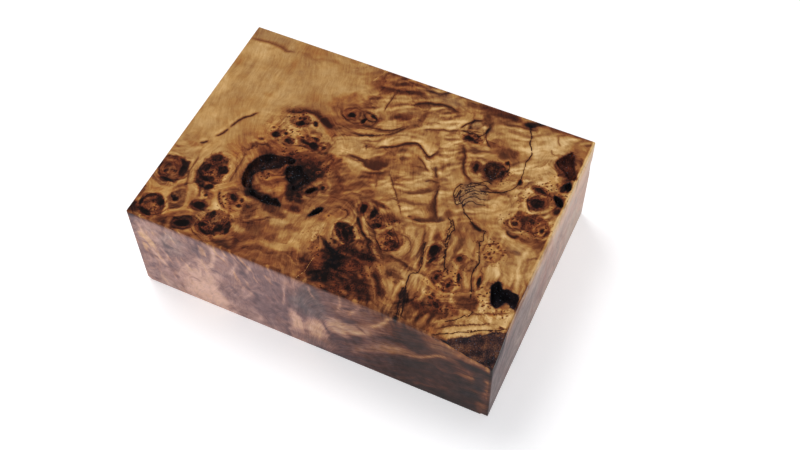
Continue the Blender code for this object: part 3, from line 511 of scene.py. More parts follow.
# Discs: x, y, half length, half breadth, turn, tone, warmth, dark side in degrees, how dark it is, collar
DISCS = (
    (-58.4, -23.6, 5.1, 5.5, 0, 0.38, 0.7, 25, 0.24, 0.9),
    (-58.0, -25.2, 2.9, 2.6, 0, 0.46, 0.3, 200, 0.10, 0.0),
    (-46.2, -19.4, 4.4, 7.9, 6, 0.27, 0.3, 60, 0.06, 0.8),
    (-47.0, -14.4, 2.2, 2.1, 20, 0.24, 0.4, 300, 0.04, 0.3),
    (-50.8, -33.6, 2.6, 3.9, 6, 0.38, 0.1, 320, 0.10, 0.7),
    (-51.1, -33.9, 1.5, 1.9, 6, 0.50, -0.2, 0, 0.0, 0.0),
    (-43.2, -32.8, 2.6, 2.3, 0, 0.32, 0.6, 0, 0.05, 0.4),
    (-57.0, -39.0, 4.3, 4.4, 0, 0.35, 0.7, 50, 0.16, 0.7),
    (-56.6, -39.3, 2.4, 2.2, 10, 0.55, 0.8, 250, 0.08, 0.0),
    (-44.6, -40.9, 4.0, 2.6, 25, 0.30, 0.4, 0, 0.06, 0.4),
    (-34.6, -36.6, 4.6, 4.9, 10, 0.38, 0.5, 320, 0.12, 0.8),
    (-36.2, -35.2, 1.5, 1.9, 20, 0.62, -0.3, 0, 0.0, 0.0),
    (-37.8, -39.9, 3.0, 2.0, -10, 0.34, 0.5, 0, 0.05, 0.3),
    (-33.8, -26.0, 3.4, 2.0, -25, 0.36, 0.7, 0, 0.05, 0.5),
    (-29.5, 11.6, 3.4, 2.7, 15, 0.44, 0.3, 240, 0.12, 0.7),
    (-33.2, 3.6, 3.0, 2.3, 10, 0.40, 0.4, 90, 0.08, 0.5),
    (-29.7, 2.3, 2.2, 1.7, 10, 0.36, 0.2, 0, 0.0, 0.6),
    (-22.4, 4.6, 4.6, 2.6, -8, 0.36, 0.5, 90, 0.06, 0.6),
    (-17.4, 4.6, 1.9, 2.4, 0, 0.46, 0.5, 0, 0.08, 0.6),
    (-15.2, 21.4, 3.4, 2.7, 10, 0.44, 0.9, 0, 0.06, 0.3),
    (-9.4, 22.0, 3.8, 2.6, -15, 0.50, 0.3, 200, 0.10, 0.6),
    (-10.3, -10.1, 1.6, 1.8, 0, 0.44, 0.2, 200, 0.10, 0.8),
    (-13.3, -13.0, 2.4, 2.4, 0, 0.46, 0.3, 0, 0.0, 0.6),
    (3.6, -22.6, 4.2, 2.6, -38, 0.22, 0.2, 60, 0.06, 0.9),
    (5.2, -12.0, 2.0, 2.8, 8, 0.34, 0.3, 0, 0.06, 0.5),
    (9.2, -13.3, 1.7, 2.9, 5, 0.34, 0.4, 0, 0.05, 0.5),
    (11.9, -16.3, 2.3, 1.5, 15, 0.40, 0.3, 0, 0.05, 0.5),
    (18.3, -19.8, 3.9, 4.4, -10, 0.40, 0.7, 300, 0.10, 0.6),
    (25.8, 28.4, 3.6, 1.7, -8, 0.34, 0.5, 200, 0.06, 0.6),
    (24.9, 34.4, 2.6, 1.6, 40, 0.52, -0.4, 160, 0.10, 0.3),
    (31.5, 18.0, 1.7, 2.6, 12, 0.38, 0.6, 0, 0.05, 0.6),
    (37.8, 18.6, 4.1, 4.2, 0, 0.45, 0.5, 150, 0.12, 0.8),
    (54.0, 17.8, 3.4, 1.6, -5, 0.38, 0.7, 0, 0.05, 0.6),
    (55.0, 12.7, 3.6, 3.0, 12, 0.30, 0.6, 200, 0.08, 0.9),
    (56.6, 4.4, 6.0, 3.5, -12, 0.38, 0.9, 40, 0.10, 0.5),
    (51.5, 2.4, 2.9, 2.5, 0, 0.44, 0.6, 0, 0.10, 0.9),
    (60.2, 3.3, 2.0, 2.4, 0, 0.38, 0.9, 0, 0.08, 0.8),
    (60.4, 22.8, 2.2, 2.6, 0, 0.64, 0.7, 0, 0.06, 0.7),
    (60.4, 16.4, 3.5, 2.5, -30, 0.44, 0.5, 0, 0.06, 0.6),
    (58.8, 31.2, 4.0, 5.2, -25, 0.52, 0.6, 270, 0.10, 0.3),
    (32.3, -18.0, 2.2, 3.6, 4, 0.34, 0.6, 0, 0.05, 0.8),
    (40.8, -17.0, 1.8, 1.7, 30, 0.44, 0.2, 0, 0.04, 0.6),
    (45.2, -17.6, 1.6, 2.0, 0, 0.54, 0.0, 0, 0.05, 0.5),
    (36.9, -26.0, 1.7, 2.4, 0, 0.40, 0.7, 0, 0.05, 0.6),
    (41.3, -27.4, 1.7, 2.4, 0, 0.40, 0.7, 0, 0.05, 0.6),
    (40.3, -35.0, 2.9, 1.7, -35, 0.34, 0.4, 0, 0.05, 0.5),
    (48.8, -11.0, 3.4, 3.4, 0, 0.68, 0.2, 0, 0.10, 0.5),
    (11.4, -33.2, 2.4, 2.6, 0, 0.36, 0.8, 60, 0.14, 0.1),
    (1.0, -35.4, 2.2, 3.4, 12, 0.42, 0.9, 20, 0.12, 0.0),
)

# Dark eyes: x, y, half length, half breadth, turn, tone at the core, halo, collar
EYES = (
    (-54.9, -22.6, 1.3, 3.2, 8, 0.12, 0.4, 0.0),
    (-56.6, -19.8, 1.6, 0.9, -25, 0.22, 0.3, 0.0),
    (-60.1, -25.1, 0.6, 0.8, 0, 0.24, 0.5, 0.0),
    (-57.5, -24.0, 0.6, 0.5, 0, 0.28, 0.5, 0.0),
    (-58.0, -28.2, 2.6, 0.6, 0, 0.26, 0.3, 0.0),
    (-47.2, -13.6, 1.9, 1.5, 40, 0.17, 0.4, 0.0),
    (-43.1, -17.4, 1.8, 1.9, 30, 0.12, 0.4, 0.0),
    (-48.4, -18.5, 1.3, 1.6, 0, 0.15, 0.4, 0.0),
    (-46.3, -19.7, 0.6, 0.6, 0, 0.10, 1.0, 0.5),
    (-46.2, -22.5, 2.6, 1.1, 10, 0.12, 0.4, 0.0),
    (-44.1, -25.0, 1.6, 0.9, 20, 0.14, 0.4, 0.0),
    (-46.4, -25.6, 0.6, 0.9, 0, 0.22, 0.4, 0.0),
    (-51.2, -33.9, 0.8, 0.9, 0, 0.10, 0.3, 0.0),
    (-43.2, -32.7, 1.8, 1.4, 0, 0.11, 0.5, 0.0),
    (-55.3, -36.5, 2.0, 1.3, -40, 0.12, 0.4, 0.0),
    (-58.2, -42.0, 2.9, 0.9, -12, 0.14, 0.4, 0.0),
    (-61.0, -38.6, 0.6, 1.9, 10, 0.24, 0.4, 0.0),
    (-44.5, -41.0, 2.5, 1.4, 28, 0.07, 0.4, 0.0),
    (-37.4, -34.0, 0.8, 1.5, 10, 0.20, 0.4, 0.0),
    (-33.0, -38.0, 1.7, 1.7, 20, 0.18, 0.6, 0.3),
    (-30.6, -37.0, 0.9, 2.2, 10, 0.18, 0.4, 0.0),
    (-34.6, -40.4, 1.6, 0.6, -10, 0.20, 0.4, 0.0),
    (-38.4, -38.8, 1.2, 0.8, 0, 0.13, 0.5, 0.0),
    (-36.8, -41.0, 1.8, 0.7, -8, 0.13, 0.5, 0.0),
    (-34.7, -25.6, 1.6, 1.1, -40, 0.10, 0.5, 0.0),
    (-31.5, -25.4, 0.6, 0.8, 0, 0.20, 0.6, 0.2),
    (-31.6, -27.8, 0.8, 0.6, 0, 0.18, 0.6, 0.2),
    (-43.2, -28.4, 0.5, 0.5, 0, 0.20, 0.8, 0.3),
    (-29.2, 10.8, 1.5, 1.1, 20, 0.12, 0.5, 0.2),
    (-28.8, 13.0, 0.6, 0.5, 0, 0.20, 0.6, 0.2),
    (-30.6, 12.6, 0.5, 0.5, 0, 0.22, 0.6, 0.2),
    (-24.6, 12.6, 0.7, 1.4, 30, 0.28, 0.6, 0.4),
    (-34.5, 3.2, 1.3, 1.1, 0, 0.15, 0.5, 0.2),
    (-31.6, 4.9, 0.8, 0.6, 0, 0.13, 0.5, 0.2),
    (-29.7, 2.3, 1.4, 0.9, 12, 0.08, 0.4, 0.0),
    (-26.0, 5.7, 0.6, 0.5, 0, 0.12, 0.6, 0.3),
    (-24.2, 4.2, 1.8, 0.8, -15, 0.10, 0.4, 0.0),
    (-20.7, 3.9, 1.9, 1.3, -15, 0.12, 0.5, 0.0),
    (-21.6, 6.9, 1.1, 0.6, 0, 0.30, 0.6, 0.2),
    (-38.0, -0.6, 0.9, 0.5, 15, 0.32, 0.8, 0.1),
    (-36.6, 5.4, 0.5, 0.4, 0, 0.32, 0.8, 0.1),
    (-17.3, 4.4, 0.5, 0.7, 0, 0.26, 0.9, 0.4),
    (-15.3, 21.2, 1.2, 1.1, 10, 0.09, 0.8, 0.0),
    (-10.2, 20.6, 0.6, 1.3, -15, 0.12, 0.5, 0.0),
    (-7.9, 23.2, 1.5, 0.5, -15, 0.28, 0.5, 0.0),
    (-10.3, -10.2, 0.7, 0.8, 0, 0.20, 0.6, 0.0),
    (1.9, -21.0, 1.5, 1.1, -20, 0.10, 0.3, 0.0),
    (4.6, -23.6, 2.2, 1.0, -50, 0.09, 0.2, 0.0),
    (5.2, -12.0, 1.2, 1.9, 8, 0.10, 0.4, 0.0),
    (9.1, -13.1, 0.9, 2.0, 0, 0.12, 0.4, 0.0),
    (11.8, -16.4, 1.4, 0.8, 15, 0.12, 0.4, 0.0),
    (17.7, -17.3, 1.4, 0.8, 0, 0.28, 0.8, 0.3),
    (19.2, -20.6, 1.6, 1.4, -20, 0.26, 0.8, 0.2),
    (17.4, -21.4, 0.7, 0.6, -20, 0.28, 0.8, 0.2),
    (25.0, 28.2, 1.9, 0.9, -10, 0.13, 0.6, 0.2),
    (27.6, 27.6, 0.8, 0.6, -10, 0.26, 0.6, 0.2),
    (31.5, 17.9, 0.9, 1.7, 12, 0.17, 0.5, 0.0),
    (40.2, 23.6, 0.6, 0.8, 0, 0.24, 0.6, 0.2),
    (40.0, 18.4, 0.8, 1.9, 0, 0.18, 0.5, 0.2),
    (46.9, 18.4, 0.7, 1.1, 0, 0.22, 0.5, 0.2),
    (54.0, 17.8, 2.3, 0.7, -5, 0.20, 0.5, 0.0),
    (55.0, 12.8, 2.6, 1.8, 12, 0.12, 0.3, 0.0),
    (61.8, 12.4, 1.2, 1.2, 0, 0.30, 0.5, 0.2),
    (55.4, 5.8, 2.2, 0.8, -12, 0.30, 0.4, 0.0),
    (51.4, 2.4, 1.2, 0.9, 0, 0.26, 0.3, 0.6),
    (60.0, 3.3, 0.6, 1.1, 0, 0.22, 0.3, 0.6),
    (60.6, 22.0, 0.9, 2.0, 0, 0.16, 0.5, 0.0),
    (61.6, 27.0, 1.6, 0.9, 20, 0.08, 0.5, 0.0),
    (58.6, 28.6, 1.6, 0.7, -30, 0.18, 0.4, 0.0),
    (32.2, -17.6, 1.3, 2.3, 4, 0.11, 0.5, 0.0),
    (32.9, -21.2, 0.5, 1.4, -15, 0.24, 0.5, 0.0),
    (40.7, -17.0, 1.0, 1.0, 30, 0.26, 0.5, 0.0),
    (36.8, -26.0, 0.7, 1.1, 0, 0.14, 0.6, 0.0),
    (41.3, -27.3, 0.5, 0.9, 0, 0.14, 0.6, 0.0),
    (43.1, -23.7, 0.6, 2.2, 24, 0.10, 0.5, 0.0),
    (49.4, -22.4, 0.5, 2.3, 16, 0.24, 0.6, 0.2),
    (40.6, -35.1, 1.7, 0.7, -40, 0.17, 0.5, 0.0),
    (38.3, -33.5, 0.9, 0.4, -10, 0.24, 0.5, 0.0),
    (61.3, -33.3, 0.6, 0.3, 15, 0.24, 0.6, 0.1),
    (47.8, -13.0, 0.5, 0.5, 0, 0.26, 0.8, 0.4),
    (49.2, -12.6, 0.4, 0.5, 0, 0.30, 0.8, 0.3),
    (48.4, -11.1, 0.4, 0.3, 0, 0.32, 0.8, 0.3),
    (47.2, -8.2, 0.5, 0.3, -30, 0.26, 0.8, 0.2),
    (50.1, -8.0, 0.3, 0.5, 0, 0.34, 0.8, 0.2),
    (20.0, -8.8, 0.6, 0.3, 0, 0.40, 0.6, 0.1),
    (-3.7, -19.4, 0.2, 0.2, 0, 0.30, 0.6, 0.0),
)

# Groups that the grain and the growth rings bend round: x, y, reach, height in rings
GROUPS = (
    (-26.0, -9.5, 14.0, 3.4),
    (-45.6, -18.8, 7.0, 2.2),
    (-58.4, -24.0, 6.5, 2.4),
    (-57.0, -39.4, 6.0, 2.0),
    (-34.5, -36.8, 6.5, 2.0),
    (-29.4, 11.6, 4.5, 0.8),
    (-25.0, 4.2, 6.0, 0.9),
    (-13.0, 22.0, 7.0, 1.6),
    (8.0, -36.0, 11.0, 1.2),
    (3.5, -22.5, 6.0, 0.8),
    (9.0, -13.5, 6.5, 1.4),
    (18.5, -20.0, 6.5, 2.2),
    (26.0, 29.0, 5.0, 1.0),
    (37.5, 18.4, 7.0, 2.0),
    (54.5, 13.0, 6.0, 1.8),
    (55.5, 3.6, 8.0, 1.8),
    (58.0, 31.0, 8.0, 1.6),
    (58.0, -24.0, 8.0, 1.6),
    (39.5, -26.0, 8.0, 1.8),
    (32.3, -18.0, 5.0, 1.2),
)

# How disturbed the grain is, from 0 to 1: x, y, half length, half breadth, turn, amount, softness
DISTURBED = (
    (5, 15, 30, 30, 0, 0.7, 0.5),
    (-45, 26, 30, 24, 0, 0.06, 0.3),
    (-58, 0, 12, 12, 0, 0.10, 0.5),
    (-46, -30, 24, 19, 0, 1.0, 0.4),
    (-26, -8, 15, 18, 0, 0.95, 0.4),
    (-26, 8, 14, 9, 0, 0.95, 0.4),
    (-13, 23, 10, 8, 0, 0.75, 0.5),
    (6, -34, 17, 13, 0, 1.0, 0.4),
    (9, -18, 13, 10, -20, 0.95, 0.4),
    (26, 30, 8, 8, 0, 0.8, 0.5),
    (38, 18, 9, 9, 0, 0.8, 0.5),
    (57, 12, 9, 24, 0, 0.9, 0.5),
    (38, -26, 12, 16, 0, 0.95, 0.5),
    (52, -24, 9, 9, 0, 0.7, 0.5),
    (36, 7, 8, 6, 0, 0.7, 0.5),
    (34, -40, 14, 6, 0, 0.8, 0.5),
)

# Swarms of little specks: x, y, half length, half breadth, how many, largest speck
SWARMS = (
    (-30, 12, 4.5, 3.5, 16, 0.45),
    (-27, 4.5, 8.0, 3.0, 22, 0.45),
    (-17.5, 4.6, 1.6, 2.0, 12, 0.35),
    (-30, -13.5, 1.8, 1.8, 10, 0.3),
    (-15.5, -4.5, 4.2, 4.2, 24, 0.5),
    (-17, -15.5, 2.2, 3.4, 12, 0.4),
    (-25, -1.6, 5.0, 1.6, 14, 0.4),
    (-34, -27, 4.5, 3.0, 12, 0.45),
    (-35, -37, 5.0, 4.0, 18, 0.5),
    (-57, -39.5, 3.5, 3.0, 12, 0.5),
    (-45.5, -19, 3.5, 6.0, 14, 0.5),
    (18.5, -20, 3.2, 3.4, 26, 0.45),
    (14, -14, 4.0, 2.4, 10, 0.4),
    (8, -30, 9.0, 6.0, 22, 0.5),
    (4, -22.4, 3.6, 2.6, 16, 0.5),
    (11, -40, 8.0, 4.0, 26, 0.5),
    (26.5, 28.6, 3.0, 1.4, 10, 0.35),
    (38.5, 18.5, 3.6, 3.4, 26, 0.4),
    (58, 19, 4.5, 4.5, 16, 0.4),
    (53.5, 14, 4.0, 3.4, 14, 0.4),
    (56, 3.5, 6.5, 3.6, 16, 0.4),
    (48.5, -10, 4.0, 3.6, 18, 0.35),
    (40, -26, 4.5, 4.5, 18, 0.4),
    (52.5, -26.5, 2.6, 3.4, 14, 0.4),
    (59, -29.5, 3.0, 1.6, 14, 0.35),
    (40, -35, 5.0, 3.0, 12, 0.4),
)

# Thin black zone lines: half width, points
ZONE_LINES = (
    (0.16, ((41.4, 41.5), (42.3, 39.6), (43.4, 37.3), (43.8, 34.8), (45.2, 32.8), (46.1, 31), (45.8, 28.6))),
    (
        0.13,
        ((45.8, 28.6), (45.4, 26.6), (46.2, 23.6), (46.7, 20.6), (46.6, 17.2), (45.6, 14.2), (43.8, 12.6)),
    ),
    (0.24, ((44.2, 12.9), (42.6, 11.8), (40.4, 11), (38.4, 10.2), (36.8, 9.6))),
    (
        0.14,
        ((38.6, 13.8), (36.4, 14), (34.8, 12.4), (33, 12), (31.8, 10.4), (30, 9.6), (28.9, 7.4), (29.2, 5.2)),
    ),
    (
        0.16,
        ((29.2, 5.2), (30.6, 3.2), (31.4, 1.6), (33, 2.8), (33.8, 1.2), (35, -0.2), (36.6, -1), (38.8, -2.6)),
    ),
    (0.15, ((36.8, 9.6), (35, 9.2), (33.4, 8), (32.2, 6.2), (31.6, 4.6), (32.4, 3))),
    (0.14, ((40.4, 7.4), (38, 6.8), (36, 7), (34.2, 6), (33, 4.4), (33.2, 2.8))),
    (0.13, ((39.6, 5), (37.4, 4.6), (35.8, 5), (34.6, 4), (33.8, 2.2))),
    (0.15, ((38.4, 12), (36.2, 12.4), (34.2, 11.2), (32.4, 9.8), (31, 8.2), (30.4, 6.4), (30.8, 4.6))),
    (0.12, ((34.2, 10), (33, 8.8), (31.8, 7.4))),
    (0.13, ((38.6, 9), (36.6, 8.4), (35.2, 8), (34.2, 7.2))),
    (0.12, ((30.2, 8.6), (30.9, 6.2), (30.2, 4.4))),
    (0.24, ((38.4, -2.4), (40.4, -3.6), (42, -4.2), (43.7, -4.4))),
    (
        0.14,
        ((43.7, -4.4), (44.2, -6.2), (44.7, -7.6), (43.6, -8.4), (44.2, -9.8), (45.4, -12.2), (46.2, -14.4)),
    ),
    (
        0.17,
        (
            (46.2, -14.4), (46.8, -16.4), (46.2, -18.6), (46.6, -21.2),
            (47.6, -23.6), (48.4, -26.2), (49.2, -28),
        ),
    ),
    (
        0.17,
        (
            (31.6, -4.4), (33, -6), (33.6, -7.6), (33, -9.4),
            (34, -11.2), (34.4, -13.6), (35.6, -16), (36, -18.6),
        ),
    ),
    (0.15, ((33.2, -4.6), (34.4, -6.2), (35, -7.6), (34.2, -9.4), (35, -12), (35.4, -14.4), (36.4, -17.6))),
    (0.17, ((36.2, -17.6), (37, -20.2), (38.2, -22), (39.4, -23.4))),
    (
        0.16,
        (
            (28.4, -16), (29.6, -20), (30.8, -24), (31, -26.6),
            (29.4, -28), (29.2, -31), (30, -34), (31, -37.6),
        ),
    ),
    (0.18, ((30, -33.4), (31.6, -36), (32, -39.6), (32.6, -43))),
    (0.18, ((29.2, -34.4), (29.8, -38), (31, -41.6), (31.2, -44))),
    (0.14, ((44, -44), (46.8, -42), (48.6, -41.2), (50.2, -40), (53, -38.8), (55.6, -37), (58.2, -35.6))),
    (0.14, ((58.2, -35.6), (60.6, -34.4), (63.4, -32.6))),
    (0.12, ((45.4, -38.6), (47.4, -37.4), (48.8, -36), (49.6, -34.6), (51, -34.4), (51.8, -32.8))),
    (0.10, ((52.6, -38.2), (56.4, -36.4), (60, -35.4))),
    (0.12, ((-10.6, 24.3), (-8.4, 24), (-6.4, 22.6), (-7.4, 21.2), (-9.2, 21.4), (-11.2, 23))),
    (0.10, ((40.2, 24.6), (41.4, 22.6), (41.6, 20.6), (42.4, 19.4))),
    (0.10, ((40.6, 20), (41.4, 18.4), (41, 16.6), (42, 15.6))),
    (0.10, ((39.6, 21.8), (40.6, 21), (40.8, 19))),
    (0.12, ((21.6, 30.4), (24, 31.2), (26.6, 32))),
    (0.12, ((26.4, 29.6), (28.4, 31.6), (29, 34.4))),
)

# Pale scratches and cracks with light in them
PALE_LINES = (
    (0.10, ((-13.2, 43.6), (-14.2, 40.6), (-15, 37.4))),
    (0.12, ((-0.6, -35.4), (-0.9, -38.4), (-1.2, -41), (-2.2, -44))),
    (0.12, ((48.4, -36.6), (50, -34.8), (51.4, -33.4))),
)

# The front face: the same kinds of stains and folds, but with x and z
FRONT_STAINS = (
    (-44, 20, 26, 24, 0, 0.50, 0.4, 0.4),
    (-14, 20, 12, 22, 0, 0.40, 0.3, 0.5),
    (30, 16, 34, 22, 10, 0.25, 0.2, 0.4),
    (48, 8, 20, 14, 0, 0.18, 0.2, 0.5),
    (44, 12, 9, 6, 30, 0.24, 0.5, 0.5),
    (-38, 8, 9, 10, 0, 0.88, 0.5, 0.6),
    (-43, 18, 4, 5, 0, 0.72, 0.4, 0.6),
    (-50, 30, 8, 7, 0, 0.54, -0.3, 0.6),
    (-57, 31, 3, 4, 0, 0.58, 0.2, 0.6),
    (-56, 5, 6, 4, 0, 0.46, 0.0, 0.6),
    (-38, 32, 6, 5, 0, 0.40, 0.0, 0.6),
    (-36, 20, 4, 5, 0, 0.78, 0.3, 0.6),
    (-30, 14, 4, 5, 0, 0.42, 0.0, 0.6),
    (-26, 18, 5, 8, 0, 0.50, 0.2, 0.6),
    (-23, 6, 5, 5, 0, 0.44, 0.1, 0.6),
    (2, 30, 5.5, 9, 0, 0.34, -0.6, 0.6),
    (2, 5, 8, 5, 0, 0.42, -0.1, 0.6),
    (13, 34, 7, 6, 0, 0.44, 0.1, 0.5),
    (24, 31, 6, 5, 0, 0.42, 0.1, 0.6),
    (16, 10, 6, 4, 20, 0.30, 0.0, 0.5),
    (25, 21, 6, 2.4, 34, 0.36, 0.1, 0.6),
    (-4, 13, 2.4, 6, 10, 0.74, 0.5, 0.6),
    (3, 14, 4, 6, -10, 0.74, 0.0, 0.5),
    (11, 20, 5, 4.4, 20, 0.70, -0.2, 0.6),
    (18, 23, 7, 2.8, 28, 0.70, -0.3, 0.6),
    (26, 17, 9, 2.0, 32, 0.50, -0.2, 0.7),
    (31, 21, 6, 2.8, 32, 0.52, -0.4, 0.7),
    (37, 33, 5, 5, 0, 0.20, 0.1, 0.5),
    (47, 35, 5, 3, 0, 0.42, -0.5, 0.6),
    (56, 33, 5, 2.4, -10, 0.22, 0.3, 0.5),
    (60, 34, 4, 3.0, 0, 0.16, 0.0, 0.6),
    (60, 24, 2.0, 8, 0, 0.26, -0.5, 0.5),
    (57, 13, 3, 3.6, 20, 0.18, -0.3, 0.5),
    (61, 6, 1.8, 5, 0, 0.36, 0.0, 0.5),
    (-49, 27, 3, 5, 0, 0.54, -0.2, 0.6),
    (-38, 22, 3, 6, 0, 0.74, 0.4, 0.6),
    (-54, 36, 5, 3, 0, 0.56, 0.0, 0.6),
    (0, 24, 5, 5, 0, 0.36, -0.6, 0.6),
    (-54, 4, 4, 4, 0, 0.56, 0.0, 0.6),
)
FRONT_FOLDS = (
    (0.8, 0.8, 1.0, 0.3, 0.62, ((-58, 23), (-55.6, 18), (-52.6, 13.4))),
    (0.6, 0.6, 0.94, 0.3, 0.62, ((-54, 26), (-52, 21.4), (-53.4, 17))),
    (0.7, 0.7, 0.92, 0.3, 0.52, ((-48.8, 24), (-47.4, 17))),
    (0.5, 0.5, 0.84, 0.3, 0.52, ((-60.6, 37), (-58.8, 31), (-59.6, 26))),
    (0.5, 0.5, 0.80, 0.3, 0.52, ((-46, 40), (-46.8, 34))),
    (0.5, 0.5, 0.80, 0.3, 0.52, ((-38.6, 40), (-40, 35))),
    (0.5, 0.5, 0.16, 0.3, 0.52, ((-37.6, 38), (-38.6, 32), (-37.8, 27))),
    (0.9, 0.9, 1.0, 0.3, 0.62, ((-32.6, 40), (-32.8, 33), (-34.8, 24))),
    (0.5, 0.5, 0.86, 0.3, 0.52, ((-27.8, 40), (-29, 34))),
    (0.6, 0.6, 0.88, 0.3, 0.52, ((-23.6, 36), (-25.6, 30), (-27.4, 25))),
    (0.6, 0.6, 0.88, 0.3, 0.52, ((-18.6, 38), (-20.6, 31))),
    (0.6, 0.6, 0.82, 0.3, 0.52, ((-19.4, 22), (-21.4, 17), (-24.4, 13.6))),
    (0.6, 0.6, 0.74, 0.3, 0.52, ((-22.4, 24), (-24, 18))),
    (0.5, 0.5, 0.84, 0.4, 0.62, ((-6, 38), (-7.4, 29), (-8.4, 19))),
    (1.1, 1.1, 0.76, 0.4, 0.52, ((-3, 15), (-6, 8), (-7.6, 1))),
    (0.6, 0.6, 0.66, 0.4, 0.52, ((-17.6, 7), (-19, 3), (-20, 0))),
    (0.6, 0.6, 0.26, 0.0, 0.8, ((5.4, 21), (6.8, 16), (9, 12))),
    (0.5, 0.5, 0.34, 0.2, 0.7, ((15, 27), (18.6, 25), (21.6, 22))),
    (0.7, 0.7, 0.84, -0.4, 0.8, ((22.6, 27.4), (24.6, 30.6), (27.4, 35), (30.4, 40))),
    (0.7, 0.7, 0.74, -0.6, 0.8, ((35, 20), (39, 23.2), (43.4, 26.8), (50, 32))),
    (0.6, 0.6, 0.52, 0.1, 0.7, ((15, 6), (20, 12), (29, 18))),
    (0.5, 0.5, 0.60, 0.2, 0.8, ((1.8, 39), (2.2, 35), (4, 32))),
    (0.5, 0.5, 0.72, 0.2, 0.8, ((12.4, 40), (12.8, 35), (11.2, 30))),
    (0.5, 0.5, 0.66, 0.2, 0.7, ((20, 40), (17, 33), (15.4, 29))),
    (0.4, 0.4, 0.12, 0.2, 0.7, ((8, 30), (14, 33), (19, 37))),
    (0.5, 0.5, 0.36, -0.3, 0.6, ((40, 4), (48, 9), (55, 14))),
    (0.5, 0.5, 0.34, -0.3, 0.6, ((30, 2), (36, 6), (44, 10))),
)

# How far a stain's edge and a knot's outline wander, and the share of a fold that each of its ends fades over
EDGE_WANDER = 0.3
DISC_WANDER = 0.17
END_FADE = 0.18

# The way across the grain, as x and y
GRAIN_WAY = (0.94, 0.34)

# How far a pit stains the wood round it, how light the bark is, and the front's pale streaks and dark hollows
PIT_STAIN = 0.9
BARK_TONE = 0.31
STREAK_LIGHT = 0.32
HOLLOW_DARK = 0.18

# Distances: further than any mark reaches, how far round a path is measured, and how thick a side face counts
FAR = 9.0
MARGIN = 3.0
FACE = 0.8

# Roughness of the polished top, the sanded sides, and the bark and pit floors
POLISH = 0.20
SANDED = 0.55
RAW = 0.75

# Studio: the camera is matched to the photograph
CAMERA_AT = (112.03, -209.31, 354.59)
CAMERA_FORWARD = (-0.24474, 0.51380, -0.82226)
CAMERA_UP = (-0.34184, 0.74787, 0.56906)
LENS = 54.43
SENSOR = 36.0

# Half the floor's side and the place that the lamps point at, in metres
FLOOR_REACH = 1.6
LIGHT_AIM = (0.0, 0.0, 0.02)


def smoothstep(low, high, value):
    share = np.clip((value - low) / (high - low), 0.0, 1.0)
    return share * share * (3.0 - 2.0 * share)


# Noise

_draw = np.random.default_rng(11)
SHUFFLE = _draw.permutation(256)
SLOPES = _draw.normal(size=(256, 3))
SLOPES /= np.linalg.norm(SLOPES, axis=1, keepdims=True)


def noise(places, size, seed=0.0):
    """Smooth noise from about -1 to 1 at each place, with lumps of the given size."""
    scaled = places / size + np.array((31.7, 17.3, 5.9)) * (seed + 1.0)
    cell = np.floor(scaled).astype(int)
    inside = scaled - cell
    fade = inside**3 * (inside * (inside * 6.0 - 15.0) + 10.0)
    total = np.zeros(len(places))
    for corner in np.ndindex(2, 2, 2):
        at = (cell + corner) & 255
        slope = SLOPES[SHUFFLE[(SHUFFLE[(SHUFFLE[at[:, 0]] + at[:, 1]) & 255] + at[:, 2]) & 255]]
        weight = np.prod(np.where(corner, fade, 1.0 - fade), axis=1)
        total += weight * ((inside - corner) * slope).sum(axis=1)
    return 1.5 * total


def rough_noise(places, size, octaves, seed=0.0):
    return sum(noise(places, size / 2**k, seed + 3.0 * k) / 2**k for k in range(octaves))


# Paths in a plane


def smooth_path(points, closed=False, steps=5):
    """A smooth curve through the points (Catmull-Rom)."""
    points = np.array(points, float)
    if closed:
        padded = np.vstack([points[-1], points, points[:2]])
    else:
        padded = np.vstack([2 * points[0] - points[1], points, 2 * points[-1] - points[-2]])
    t = np.linspace(0.0, 1.0, steps, endpoint=False)[:, None]
    spans = []
    for a, b, c, d in zip(padded[:-3], padded[1:-2], padded[2:-1], padded[3:]):
        squared = (2 * a - 5 * b + 4 * c - d) * t**2
        cubed = (3 * b - a - 3 * c + d) * t**3
        spans.append(0.5 * (2 * b + (c - a) * t + squared + cubed))
    path = np.vstack(spans)
    return np.vstack([path, path[0] if closed else points[-1]])


def measure(x, y, path):
    """Distance to the path, which side of it (+1 left, -1 right), and how far along it, from 0 to 1."""
    runs = np.hypot(*np.diff(path, axis=0).T)
    starts = np.concatenate([[0.0], np.cumsum(runs)])
    best = np.full(x.shape, 1e9)
    side = np.ones(x.shape)
    along = np.zeros(x.shape)
    for (ax, ay), (bx, by), run, start in zip(path[:-1], path[1:], runs, starts):
        dx, dy = (bx - ax) / run, (by - ay) / run
        ahead = np.clip((x - ax) * dx + (y - ay) * dy, 0.0, run)
        distance = np.hypot(x - ax - ahead * dx, y - ay - ahead * dy)
        closer = distance < best
        best[closer] = distance[closer]
        side[closer] = np.where(dx * (y - ay) - dy * (x - ax) > 0.0, 1.0, -1.0)[closer]
        along[closer] = (start + ahead[closer]) / starts[-1]
    return best, side, along


def inside_outline(x, y, path):
    crossings = np.zeros(x.shape, int)
    for (ax, ay), (bx, by) in zip(path[:-1], path[1:]):
        if ay != by:
            spans = (ay > y) != (by > y)
            crossings += spans & (x < ax + (y - ay) * (bx - ax) / (by - ay))
    return crossings % 2 == 1


# The block's form


def corner_share(x, y, lengths):
    return (x - LENGTH / 2) / lengths[0] + (-WIDTH / 2 - y) / lengths[1] + 1.0


def wane_height(x, y):
    return HEIGHT - WANE_DROP * np.clip(corner_share(x, y, WANE), 0.0, 1.0) ** WANE_CURVE


def flat(x, y):
    return np.stack([x, y, np.zeros_like(x)], axis=-1)


